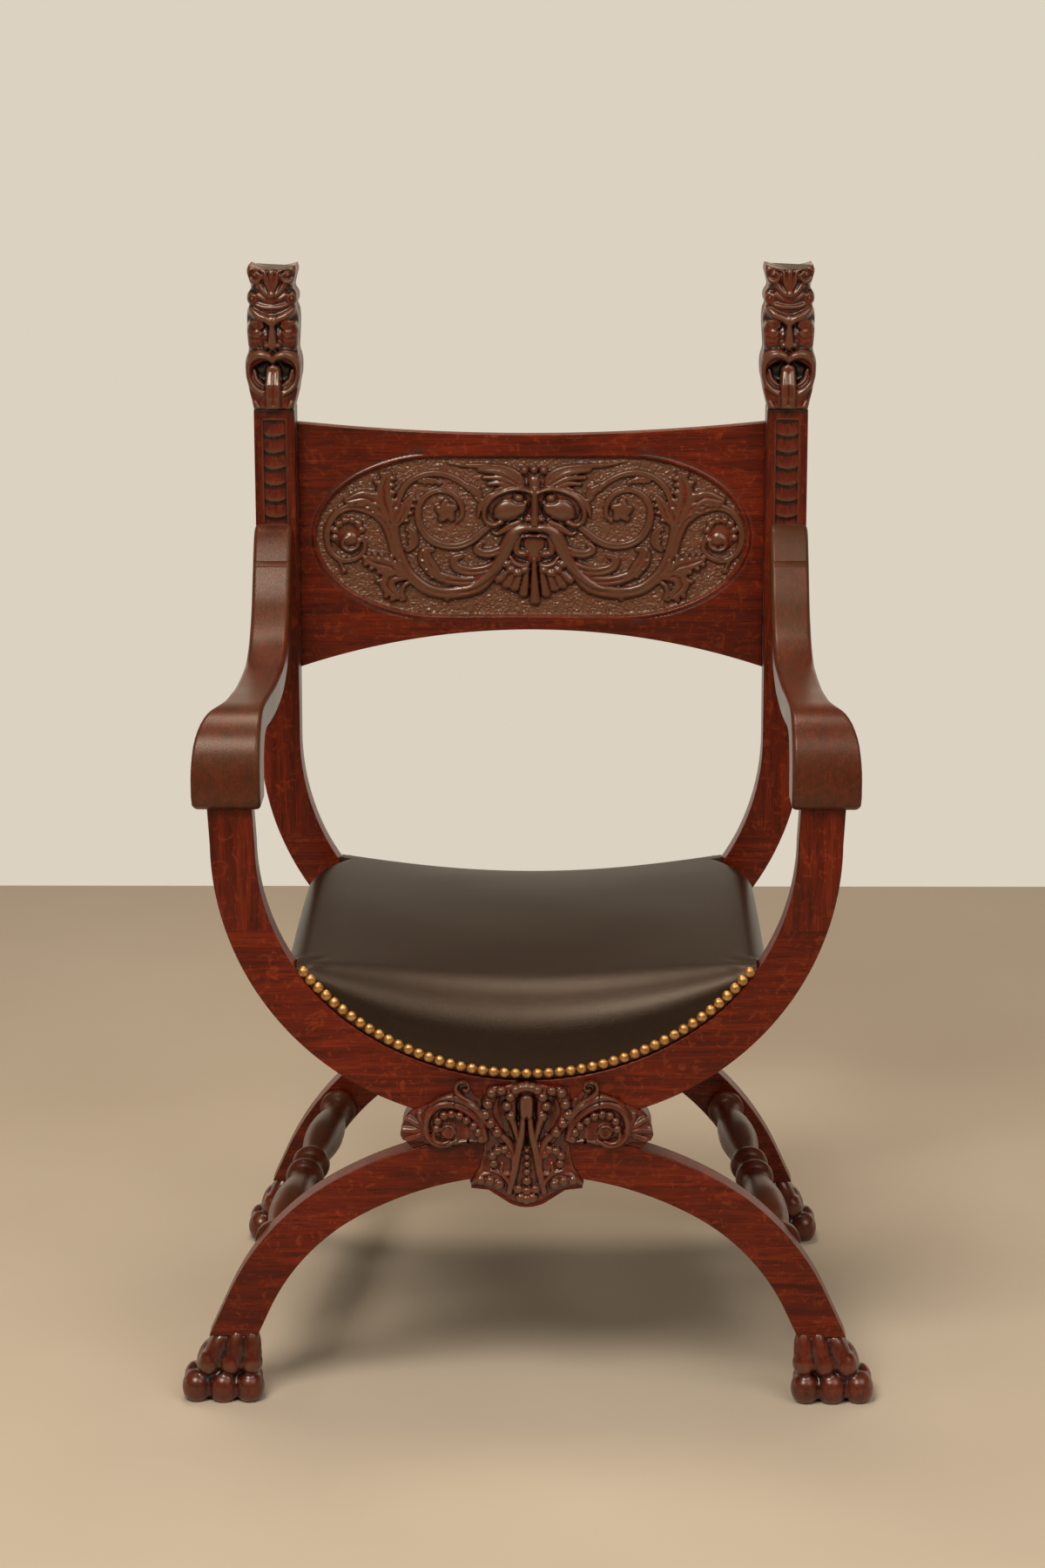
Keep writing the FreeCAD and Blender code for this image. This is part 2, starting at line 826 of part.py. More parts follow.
crest_back = board("crest_back_layer", [crest_loop(1)], s.crest_thickness, front_face - s.crest_thickness)
raised_face = front_face - s.crest_thickness - s.crest_relief
crest_raised = board("crest_raised_layer", [crest_loop(CREST_RAISED_SHARE)], s.crest_relief, raised_face)
crest = doc.addObject("Part::MultiFuse", "front_crest")
crest.Shapes = [crest_back, crest_raised]
keep(crest)

# Uprights of the front frame
post_centre = half_way(rear_outer.half, rear_inner.half)
upright_centre = half_way(front_outer.half, front_inner.half) + s.upright_flare


def front_upright(side_name, side):
    label = "front_%s_upright" % side_name
    outline = upright_outline(
        front_outer, front_inner, front_joint_height, s.upright_top, s.upright_flare, side
    )
    upright = board(label + "_board", [outline], s.board_thickness, front_face)
    number = arm_dowels.add("z", (upright_centre * side, front_middle, s.upright_top), s.dowel_length)
    bores = [joint_dowels.bores[index] for index in front.joint_numbers[side]]
    front.arm_bores[side] = arm_dowels.bores[number]
    keep(bored(label, upright, bores + [arm_dowels.bores[number]]))


# Posts of the rear frame, each with its mask carved on the same piece
HEAD_SHARES = (
    (0.0, 0.71), (0.08, 0.79), (0.23, 1.0), (0.43, 0.867), (0.58, 0.911),
    (0.71, 0.82), (0.77, 0.87), (0.85, 0.761), (0.97, 0.874), (1.0, 0.82),
)
FACE_SHARE = 0.88
PANEL_DOWEL_SHARES = (0.187, 0.524, 0.861)


def head_side(shrink):
    """Half of a head's outline: heights and distances from its own centre line."""
    middle = s.post_shaft_top + s.head_height / 2
    points = []
    for up, out in HEAD_SHARES:
        height = middle + s.head_height * ((up - 0.5) * shrink)
        points.append((s.head_half_width * (out * shrink), height))
    return points


def head_outline(side, shrink):
    centre = post_centre * side
    right = [(centre + out, height) for out, height in head_side(shrink)]
    left = [(centre - out, height) for out, height in reversed(head_side(shrink))]
    return right + left


def post_outline(side):
    middle_height = half_way(rear_joint_height, rear_outer.spring)
    loop = [
        rear_outer.side_point(rear_joint_height),
        (rear_outer.side_point(middle_height), (rear_outer.half, rear_outer.spring)),
        (rear_outer.half, s.post_shaft_top),
    ]
    loop += [(post_centre + out, height) for out, height in head_side(1)]
    loop += [(post_centre - out, height) for out, height in reversed(head_side(1))]
    loop += [
        (rear_inner.half, s.post_shaft_top),
        (rear_inner.half, rear_inner.spring),
        (rear_inner.side_point(middle_height), rear_inner.side_point(rear_joint_height)),
    ]
    return turned(loop, side)


def side_board(label, loops, low, width):
    """A piece drawn from the side, running across from the plane low."""
    body = new_body(label)
    sketch = draw(body, label + "_outline", "YZ_Plane", loops)
    pad = body.newObject("PartDesign::Pad", label + "_pad")
    pad.Profile = sketch
    pad.setExpression("Length", width.text)
    place(body, x=low)
    return body


def plan_board(label, loops, bottom, thickness):
    """A piece drawn from above, standing on the plane bottom."""
    body = new_body(label)
    sketch = draw(body, label + "_outline", "XY_Plane", loops)
    pad = body.newObject("PartDesign::Pad", label + "_pad")
    pad.Profile = sketch
    pad.setExpression("Length", thickness.text)
    place(body, z=bottom)
    return body


panel_face = rear_face + s.panel_inset
panel_middle = panel_face + s.panel_thickness / 2
panel_bores = []
post_back = rear_face + s.post_depth
taper = [
    (rear_back, rear_joint_height),
    (post_back, s.post_taper_top),
    (post_back + s.overrun, s.post_taper_top),
    (post_back + s.overrun, rear_joint_height - s.overrun),
    (rear_back, rear_joint_height - s.overrun),
]
back_taper = side_board("post_back_taper", [taper], -s.rear_half_width * 1.1, s.rear_half_width * 2.2)
arm_end_bottom = s.arm_top - s.arm_block_height


def rear_post(side_name, side):
    label = "rear_%s_post" % side_name
    shaft = board(label + "_board", [post_outline(side)], s.post_depth, rear_face)
    relief_face = rear_face - s.head_relief
    face = board(label + "_face", [head_outline(side, FACE_SHARE)], s.head_relief * 2, relief_face)
    joined = doc.addObject("Part::MultiFuse", label + "_carved")
    joined.Shapes = [shaft, face]
    bores = [joint_dowels.bores[index] for index in rear.joint_numbers[side]]
    for share in PANEL_DOWEL_SHARES:
        height = s.panel_bottom + (s.panel_top - s.panel_bottom) * share
        number = panel_dowels.add("x", (rear_inner.half * side, panel_middle, height), s.dowel_length)
        bores.append(panel_dowels.bores[number])
        panel_bores.append(panel_dowels.bores[number])
    for height in arm_dowel_heights:
        number = arm_dowels.add("y", (post_centre * side, rear_face, height), s.dowel_length)
        rear.arm_bores.setdefault(side, []).append(arm_dowels.bores[number])
    keep(bored(label, joined, bores + rear.arm_bores[side] + [back_taper]))


# Arms: a side profile met by a plan outline
ARM_TOP_PROFILE = (
    (-4, 612), (-12, 622), (-12, 645), ((2, 682), (36, 701)), ((150, 692), (270, 690)),
    ((350, 706), (395, 745)), ((418, 781), (437, 808)), (444, 812), (451, 812),
)
ARM_UNDER_PROFILE = (
    (451, 765), ((425, 735), (400, 706)), ((360, 671), (290, 661)), ((180, 662), (75, 671)),
    ((52, 666), (43, 648)), (40, 622), (36, 612),
)
ARM_REACH = (-12, 451)
ARM_RISE = (612, 812)
ARM_FLARE_SHARES = (
    (0.0, 1.0), (0.026, 0.875), (0.058, 0.7), (0.112, 0.375), (0.166, 0.125), (0.263, 0.02), (1.0, 0.0),
)
arm_run = s.frame_spacing + s.nose_overhang
arm_rise = s.arm_top - s.upright_top


def arm_point(pair):
    """A point of the arm's side view, as shares of the arm's reach and rise."""
    along = (pair[0] - ARM_REACH[0]) / (ARM_REACH[1] - ARM_REACH[0])
    up = (pair[1] - ARM_RISE[0]) / (ARM_RISE[1] - ARM_RISE[0])
    return (front_face - s.nose_overhang + arm_run * along, s.upright_top + arm_rise * up)


def arm_loop():
    loop = []
    for entry in ARM_TOP_PROFILE + ARM_UNDER_PROFILE:
        if isinstance(entry[0], tuple):
            loop.append(tuple(arm_point(pair) for pair in entry))
        else:
            loop.append(arm_point(entry))
    return loop


arm_tail_bottom = arm_point(ARM_UNDER_PROFILE[0])[1]
arm_dowel_heights = (half_way(arm_tail_bottom, arm_end_bottom), half_way(arm_end_bottom, s.arm_top))


def arm_plan(side):
    loop = [(arm_inner * side, front_face - s.nose_overhang)]
    for along, flare in ARM_FLARE_SHARES:
        outer = arm_inner + s.arm_width + s.arm_flare * flare
        loop.append((outer * side, front_face - s.nose_overhang + arm_run * along))
    loop.append((arm_inner * side, rear_face))
    return loop


def arm_pieces(side_name, side):
    name = side_name + "_arm"
    low = arm_inner if side > 0 else -(arm_inner + s.arm_width + s.arm_flare)
    profile = side_board(name + "_profile", [arm_loop()], low, s.arm_width + s.arm_flare)
    plan = plan_board(name + "_plan", [arm_plan(side)], s.upright_top - s.overrun, arm_rise + s.overrun * 2)
    sweep = doc.addObject("Part::MultiCommon", name + "_sweep")
    sweep.Shapes = [profile, plan]
    reach = arm_inner + s.arm_width + s.arm_flare + s.overrun
    low_corner = (-reach, front_middle, arm_end_bottom)
    high_corner = (reach, rear_face + s.overrun, s.arm_top + s.overrun)
    above = box(name + "_above", low_corner, high_corner)
    tail_bore, block_bore = rear.arm_bores[side]
    tools = [above, front.arm_bores[side], tail_bore]
    keep(bored(name, sweep, tools))
    top = doc.addObject("Part::MultiCommon", name + "_block_blank")
    top.Shapes = [sweep, above]
    keep(bored(name + "_block", top, [block_bore]))


for side_name, side in SIDES:
    front_upright(side_name, side)
    rear_post(side_name, side)
    arm_pieces(side_name, side)

# Back panel with its sunk field
panel_half = rear_inner.half - s.panel_gap
panel_outline = [
    (-panel_half, s.panel_top),
    ((ZERO, s.panel_top - s.panel_top_dip), (panel_half, s.panel_top)),
    (panel_half, s.panel_bottom),
    ((ZERO, s.panel_bottom + s.panel_bottom_rise), (-panel_half, s.panel_bottom)),
]
panel_board = board("panel_board", [panel_outline], s.panel_thickness, panel_face)
field = box(
    "panel_field",
    (-s.cartouche_half_width, panel_face - s.overrun, s.cartouche_bottom),
    (s.cartouche_half_width, panel_face + s.cartouche_recess, s.cartouche_bottom + s.cartouche_height),
)
keep(bored("back_panel", panel_board, panel_bores + [field]))

# Seat: side rails, two boards, a deck, a pad, a leather cover and a dust cover
deck_top = s.seat_rail_bottom
board_front = front_face + s.seat_board_setback
board_back = rear_back - s.seat_board_setback
taper_start = front_face + s.seat_taper_start
rail_outer = seat_half_width - s.leather_thickness - s.soft_clearance
rail_tail = seat_rear_half_width - s.leather_thickness - s.soft_clearance


def tapered(half, tail_half, low, high):
    """Plan outline that runs straight and then draws in towards the rear."""
    return [
        (-half, low),
        (half, low),
        (half, taper_start),
        (tail_half, high),
        (-tail_half, high),
        (-half, taper_start),
    ]


def seat_rail(side_name, side):
    label = "seat_%s_rail" % side_name
    plan = [
        (rail_outer, front_back),
        (rail_outer, taper_start),
        (rail_tail, rear_face),
        (rail_tail - s.seat_rail_width, rear_face),
        (rail_outer - s.seat_rail_width, taper_start),
        (rail_outer - s.seat_rail_width, front_back),
    ]
    blank = plan_board(label + "_board", [turned(plan, side)], s.seat_rail_bottom, s.seat_rail_depth)
    keep(bored(label, blank, [front.seat_bores[side], rear.seat_bores[side]]))


def seat_outline(inner, clearance, end_height, middle_height):
    """Outline of a board that fills the curved rail up to a dished top edge."""
    half = inner.half - clearance
    fitted = Arc3(half, inner.spring, inner.bottom + clearance, inner.crown_radius - clearance)
    end = fitted.side_point(end_height)
    half_height = half_way(end_height, fitted.joint[1])
    return [
        mirrored(end, -1),
        (mirrored(fitted.side_point(half_height), -1), mirrored(fitted.joint, -1)),
        ((ZERO, fitted.bottom), fitted.joint),
        (fitted.side_point(half_height), end),
        ((ZERO, middle_height), mirrored(end, -1)),
    ]


def section(body, name, depth, corners, top_middle):
    """A cross section with a dished top, at a distance from the front."""
    (half, bottom), (top_half, top) = corners
    loop = [(-half, bottom), (half, bottom), (top_half, top), ((ZERO, top_middle), (-top_half, top))]
    sketch = draw(body, name, "XZ_Plane", [loop])
    sketch.setExpression(".AttachmentOffset.Base.z", (-depth).text)
    return sketch


def seat_loft(label, depths, sink, inset, bottom):
    """A long form through the seat's cross sections, sunk and drawn in by given amounts."""
    body = new_body(label)
    stations = (
        (depths[0], seat_half_width, s.seat_front_top, s.seat_front_middle),
        (front_back, seat_half_width, s.seat_side_top, s.seat_side_middle),
        (taper_start, seat_half_width, s.seat_side_top, s.seat_side_middle),
        (depths[1], seat_rear_half_width, s.seat_rear_top, s.seat_rear_middle),
    )
    sketches = []
    for index, (depth, half, top, middle) in enumerate(stations):
        corners = ((half - inset, bottom), (half - inset, top - sink))
        sketches.append(section(body, "%s_section_%d" % (label, index), depth, corners, middle - sink))
    loft = body.newObject("PartDesign::AdditiveLoft", label + "_loft")
    loft.Profile = sketches[0]
    loft.Sections = sketches[1:]
    loft.Ruled = True
    return body


def keepout(name, inner, low, high):
    """Everything beside and below the opening of a curved rail."""
    reach = s.front_half_width
    slab = box(name + "_slab", (-reach, low, ZERO), (reach, high, s.upright_top))
    fitted = seat_outline(inner, s.seat_clearance, s.spring_height, s.upright_top)
    plug = board(name + "_plug", [fitted], high - low + s.overrun * 2, low - s.overrun)
    return cut(name, slab, plug)


cover_front = board_front - s.leather_thickness
cover_back = board_back + s.leather_thickness
outside = seat_loft("leather_outside", (cover_front, cover_back), ZERO, ZERO, deck_top)
skin = s.leather_thickness
inside = seat_loft("leather_inside", (board_front, board_back), skin, skin, deck_top - s.overrun)
front_keepout = keepout("front_keepout", front_inner, front_face - s.overrun, front_back + s.soft_clearance)
rear_keepout = keepout("rear_keepout", rear_inner, rear_face - s.soft_clearance, rear_back + s.overrun)
cover_top = bored("leather_top", outside, [inside, front_keepout, rear_keepout])
RIDGE_SHARE = 0.9
front_end = s.seat_front_middle + (s.seat_front_top - s.seat_front_middle) * RIDGE_SHARE
rear_end = s.seat_rear_middle + (s.seat_rear_top - s.seat_rear_middle) * RIDGE_SHARE
front_drop = board(
    "leather_front_drop",
    [seat_outline(front_inner, s.seat_clearance, front_end, s.seat_front_middle)],
    s.leather_thickness,
    cover_front,
)
rear_drop = board(
    "leather_rear_drop",
    [seat_outline(rear_inner, s.seat_clearance, rear_end, s.seat_rear_middle)],
    s.leather_thickness,
    board_back,
)
cover = doc.addObject("Part::MultiFuse", "seat_leather")
cover.Shapes = [cover_top, front_drop, rear_drop]
keep(cover)

for side_name, side in SIDES:
    seat_rail(side_name, side)
under = s.leather_thickness + s.soft_clearance * 2
front_middle_height = s.seat_front_middle - under
rear_middle_height = s.seat_rear_middle - under
front_board_loop = seat_outline(front_inner, s.seat_clearance, front_end - under, front_middle_height)
rear_board_loop = seat_outline(rear_inner, s.seat_clearance, rear_end - under, rear_middle_height)
rear_board_front = board_back - s.seat_board_thickness
keep(board("seat_front_board", [front_board_loop], s.seat_board_thickness, board_front))
keep(board("seat_rear_board", [rear_board_loop], s.seat_board_thickness, rear_board_front))
deck_loop = tapered(rail_outer, rail_tail, front_back, rear_face)
keep(plan_board("seat_deck", [deck_loop], deck_top - s.deck_thickness, s.deck_thickness))
cloth_bottom = deck_top - s.deck_thickness - s.dust_cover_thickness
keep(plan_board("dust_cover", [deck_loop], cloth_bottom, s.dust_cover_thickness))


def seat_pad():
    """Padding between the rails, from the deck to the leather."""
    body = new_body("seat_pad")
    half = rail_outer - s.seat_rail_width - s.soft_clearance
    tail = rail_tail - s.seat_rail_width - s.soft_clearance
    stations = (
        (front_back + s.soft_clearance, half, s.seat_side_top, s.seat_side_middle),
        (taper_start, half, s.seat_side_top, s.seat_side_middle),
        (rear_face - s.soft_clearance, tail, s.seat_rear_top, s.seat_rear_middle),
    )
    sketches = []
    for index, (depth, width, top, middle) in enumerate(stations):
        share = (width.value / seat_half_width.value) ** 2
        side_top = middle + (top - middle) * share - under
        corners = ((width, deck_top), (width, side_top))
        sketches.append(section(body, "pad_section_%d" % index, depth, corners, middle - under))
    loft = body.newObject("PartDesign::AdditiveLoft", "pad_loft")
    loft.Profile = sketches[0]
    loft.Sections = sketches[1:]
    loft.Ruled = True
    return body


keep(seat_pad())

# Dome nails along the lower edge of the leather, on both faces
NAIL_SWEEP = 51
FRONT_NAIL_COUNT = 47
REAR_NAIL_COUNT = 43
NAIL_SIDES = 8


def nail_row(label, inner, circle, count, face):
    """Nail heads on a circle that follows the curved rail."""
    centre = inner.bottom + s.nail_margin + circle
    nails = []
    for index in range(count):
        angle = math.radians(NAIL_SWEEP * (2 * index / (count - 1) - 1))
        nail = doc.addObject("Part::Prism", "%s_%d" % (label, index))
        nail.Polygon = NAIL_SIDES
        nail.setExpression("Circumradius", s.nail_radius.text)
        nail.setExpression("Height", s.nail_dome.text)
        nail.Placement = FreeCAD.Placement(FreeCAD.Vector(), FreeCAD.Rotation(FreeCAD.Vector(1, 0, 0), -90))
        place(nail, circle * math.sin(angle), face, centre - circle * math.cos(angle))
        nails.append(nail)
    keep(group(label, nails))


nail_row("front_nails", front_inner, s.front_nail_circle, FRONT_NAIL_COUNT, cover_front - s.nail_dome)
nail_row("rear_nails", rear_inner, s.rear_nail_circle, REAR_NAIL_COUNT, cover_back)

for pins in (joint_dowels, leg_dowels, crossing_dowels, paw_dowels, arm_dowels, panel_dowels, seat_dowels):
    pins.finish()

doc.recompute()


def problems():
    """Names every object that isn't sound."""
    found = []
    for obj in doc.Objects:
        if "Invalid" in obj.State or "Error" in obj.State:
            found.append("%s is %s" % (obj.Label, obj.State))
    for piece in pieces:
        if piece.Shape.isNull() or not piece.Shape.isValid():
            found.append(piece.Label + " has no valid shape")
    return found


faults = problems()
if faults:
    raise RuntimeError("; ".join(faults))

os.makedirs("parts", exist_ok=True)
for piece in pieces:
    piece.Shape.exportStep("parts/%s.step" % piece.Label)
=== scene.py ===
import bmesh
import bpy
import math
import numpy as np
from mathutils import Matrix, Vector


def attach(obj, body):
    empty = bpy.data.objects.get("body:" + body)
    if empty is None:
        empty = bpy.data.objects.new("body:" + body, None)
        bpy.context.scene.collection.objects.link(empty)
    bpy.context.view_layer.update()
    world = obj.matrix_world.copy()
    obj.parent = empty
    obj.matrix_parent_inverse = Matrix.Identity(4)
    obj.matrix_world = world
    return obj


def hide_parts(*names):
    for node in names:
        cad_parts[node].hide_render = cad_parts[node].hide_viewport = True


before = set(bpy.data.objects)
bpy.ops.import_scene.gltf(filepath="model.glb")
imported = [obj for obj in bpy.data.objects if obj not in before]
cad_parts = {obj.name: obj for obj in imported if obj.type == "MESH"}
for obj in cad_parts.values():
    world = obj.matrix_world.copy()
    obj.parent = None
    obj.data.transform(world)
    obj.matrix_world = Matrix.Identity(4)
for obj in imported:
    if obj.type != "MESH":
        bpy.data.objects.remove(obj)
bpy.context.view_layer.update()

# Sizes are in millimetres and are turned to metres where a mesh is made.
MM = 0.001
SIDES = (("left", -1), ("right", 1))

FRONT = -241.0          # front face of the front frame
FRONT_BACK = -212.0     # its back face
REAR = 210.0            # front face of the rear frame
REAR_BACK = 239.0       # its back face
POST_BACK = 253.0       # back of the posts above their taper
SPRING = 575.0          # height where the curved rails turn upright
SEAT_JOINT = 490.0      # height where the front uprights stand on the front rail
POST_JOINT = 470.0      # height where the posts stand on the rear rail
CROSSING = 55.0         # how far across the legs meet the crossing blocks
EASE = 1.6              # how far the boards' edges are rounded
WELD = 0.00001          # points closer than this, in metres, are merged


# ---- hand tools ----

def pick(obj):
    """Leaves one object selected and active."""
    bpy.ops.object.select_all(action="DESELECT")
    obj.select_set(True)
    bpy.context.view_layer.objects.active = obj


def refine(obj, kind, **settings):
    """Adds a modifier, sets it and applies it."""
    pick(obj)
    modifier = obj.modifiers.new(kind.title(), kind)
    for name, value in settings.items():
        setattr(modifier, name, value)
    bpy.ops.object.modifier_apply(modifier=modifier.name)


def smooth(obj, degrees):
    """Shades an object smooth, with its flat faces kept flat."""
    pick(obj)
    bpy.ops.object.shade_smooth_by_angle(angle=math.radians(degrees))
    refine(obj, "WEIGHTED_NORMAL", keep_sharp=True, weight=50)


def tidy_normals(obj):
    """Merges doubled points and turns every face outwards."""
    pick(obj)
    bpy.ops.object.mode_set(mode="EDIT")
    bpy.ops.mesh.select_all(action="SELECT")
    bpy.ops.mesh.remove_doubles(threshold=WELD)
    bpy.ops.mesh.normals_make_consistent(inside=False)
    bpy.ops.object.mode_set(mode="OBJECT")


def shaped_grid(name, points):
    """Adds a grid and moves its points to a table of rows and columns."""
    rows, columns = points.shape[:2]
    bpy.ops.object.select_all(action="DESELECT")
    bpy.ops.mesh.primitive_grid_add(x_subdivisions=columns - 1, y_subdivisions=rows - 1, size=1)
    piece = bpy.context.object
    piece.name = piece.data.name = name
    piece.data.vertices.foreach_set("co", (points * MM).reshape(-1).astype(np.float32))
    piece.data.update()
    return piece


def close_holes(obj):
    """Fills every open edge loop of an object."""
    pick(obj)
    bpy.ops.object.mode_set(mode="EDIT")
    bpy.ops.mesh.select_all(action="SELECT")
    bpy.ops.mesh.remove_doubles(threshold=WELD)
    bpy.ops.mesh.select_all(action="DESELECT")
    bpy.ops.mesh.select_mode(type="EDGE")
    bpy.ops.mesh.select_non_manifold(extend=False, use_wire=False, use_multi_face=False,
                                     use_non_contiguous=False, use_verts=False)
    bpy.ops.mesh.fill_holes(sides=0)
    bpy.ops.mesh.select_mode(type="VERT")
    bpy.ops.object.mode_set(mode="OBJECT")
    tidy_normals(obj)


def face_outline(node, depth):
    """The outer outline of a CAD piece's flat face at a depth, as points across and up."""
    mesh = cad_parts[node].data
    corners = np.array([v.co for v in mesh.vertices]) / MM
    keys = [tuple(np.round(point, 3)) for point in corners]
    edges = {}
    for face in mesh.polygons:
        loop = [keys[index] for index in face.vertices]
        if all(abs(point[1] - depth) < 0.02 for point in loop):
            for one, other in zip(loop, loop[1:] + loop[:1]):
                if (other, one) in edges:
                    del edges[(other, one)]
                else:
                    edges[(one, other)] = True
    following = dict(list(edges))
    loops = []
    while following:
        start = next(iter(following))
        loop = [start]
        while loop[-1] in following:
            target = following.pop(loop[-1])
            if target == start:
                break
            loop.append(target)
        loops.append(loop)
    best = max(loops, key=len)
    return [(point[0], point[2]) for point in best]


def ease_edges(obj, width, segments, degrees, weight_of):
    """Rounds an object's edges, each by a width times its own weight, and shades the object."""
    shape = bmesh.new()
    shape.from_mesh(obj.data)
    weights = shape.edges.layers.float.new("bevel_weight_edge")
    for edge in shape.edges:
        edge[weights] = weight_of(edge, *(vertex.co / MM for vertex in edge.verts))
    shape.to_mesh(obj.data)
    shape.free()
    refine(obj, "BEVEL", width=width * MM, segments=segments, limit_method="WEIGHT")
    smooth(obj, degrees)


def copied(obj, name):
    """A copy of an object with a mesh of its own."""
    twin = obj.copy()
    twin.data = obj.data.copy()
    twin.name = twin.data.name = name
    bpy.context.scene.collection.objects.link(twin)
    return twin


def joined(parts, name):
    """Joins objects into the first of them."""
    bpy.ops.object.select_all(action="DESELECT")
    for part in parts:
        part.select_set(True)
    bpy.context.view_layer.objects.active = parts[0]
    bpy.ops.object.join()
    parts[0].name = parts[0].data.name = name
    return parts[0]


def plank(name, outline, low, high, *joints):
    """A board sawn to an outline. Its front and back edges are eased, but not on the floor, at
    the heights of its glued joints or beside a crossing block."""
    bpy.ops.object.select_all(action="DESELECT")
    bpy.ops.mesh.primitive_circle_add(vertices=len(outline), radius=1, fill_type="NGON")
    piece = bpy.context.object
    piece.name = piece.data.name = name
    for vertex, (across, up) in zip(piece.data.vertices, outline):
        vertex.co = Vector((across, low, up)) * MM
    bpy.ops.object.mode_set(mode="EDIT")
    bpy.ops.mesh.select_all(action="SELECT")
    bpy.ops.mesh.extrude_region_move(TRANSFORM_OT_translate={"value": (0, (high - low) * MM, 0)})
    bpy.ops.object.mode_set(mode="OBJECT")
    tidy_normals(piece)

    def weight(_, one, other):
        middle = (one + other) / 2
        ends = [middle.z - height for height in (0.0, *joints)] + [abs(middle.x) - CROSSING]
        return 0.0 if abs(one.y - other.y) >= 0.01 or min(map(abs, ends)) < 0.05 else 1.0

    ease_edges(piece, EASE, 3, 35, weight)
    return piece


def stand_in(piece, material, *nodes):
    """Seats a finished piece on the chair, in place of its CAD nodes."""
    piece.data.materials.clear()
    piece.data.materials.append(material)
    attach(piece, "root")
    if nodes:
        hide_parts(*nodes)
    return piece


# ---- curves of the rails ----

def bow_height(x, half, bottom, crown_radius):
    """Height of a curved rail's edge at distances across: a crown between two side arcs that
    touch it and end upright at half the rail's width."""
    x = np.abs(np.asarray(x, float))
    rise = SPRING - bottom
    radius = (2 * crown_radius * rise - rise * rise - half * half) / (2 * (crown_radius - half))
    centre = half - radius
    joint = centre * (crown_radius / (crown_radius - radius))
    crown = bottom + crown_radius - np.sqrt(np.maximum(crown_radius ** 2 - x ** 2, 0))
    side = SPRING - np.sqrt(np.maximum(radius ** 2 - (x - centre) ** 2, 0))
    return np.where(x < joint, crown, side)


# half width, bottom and crown radius of the rails' upper edges
FRONT_INNER = (262.5, 337.0, 290.0)
REAR_INNER = (251.0, 330.0, 290.0)


# ---- finishes ----

def colour(hex_value):
    """Turns an sRGB hex colour to the linear one that shaders use."""
    parts = [int(hex_value[i:i + 2], 16) / 255 for i in (1, 3, 5)]
    return tuple(c / 12.92 if c <= 0.04045 else ((c + 0.055) / 1.055) ** 2.4 for c in parts) + (1.0,)


def feed(tree, node, inputs):
    """Sets a node's inputs, or links them to a socket or to another node's first output."""
    for name, value in inputs.items():
        if isinstance(value, bpy.types.Node):
            value = value.outputs[0]
        if isinstance(value, bpy.types.NodeSocket):
            tree.links.new(value, node.inputs[name])
        else:
            node.inputs[name].default_value = value


def add(tree, kind, inputs=(), stops=(), **settings):
    """Adds a shader node with its settings, inputs and ramp stops."""
    made = tree.nodes.new("ShaderNode" + kind)
    for name, value in settings.items():
        setattr(made, name, value)
    feed(tree, made, dict(inputs))
    for index, (place, shade) in enumerate(stops):
        elements = made.color_ramp.elements
        stop = elements[index] if index < 2 else elements.new(place)
        stop.position = place
        stop.color = colour(shade) if isinstance(shade, str) else (shade, shade, shade, 1.0)
    return made


def finish_named(name):
    """A new material: its tree, its empty shader and the place of each point on the chair."""
    material = bpy.data.materials.new(name)
    material.use_nodes = True
    tree = material.node_tree
    tree.nodes.clear()
    shader = add(tree, "BsdfPrincipled")
    add(tree, "OutputMaterial", {"Surface": shader}, target="ALL")
    return material, tree, shader, add(tree, "TexCoord").outputs["Object"]


GRAIN_TURNS = {"x": (0, 0, 0), "y": (0, 0, math.radians(-90)), "z": (0, math.radians(90), 0)}


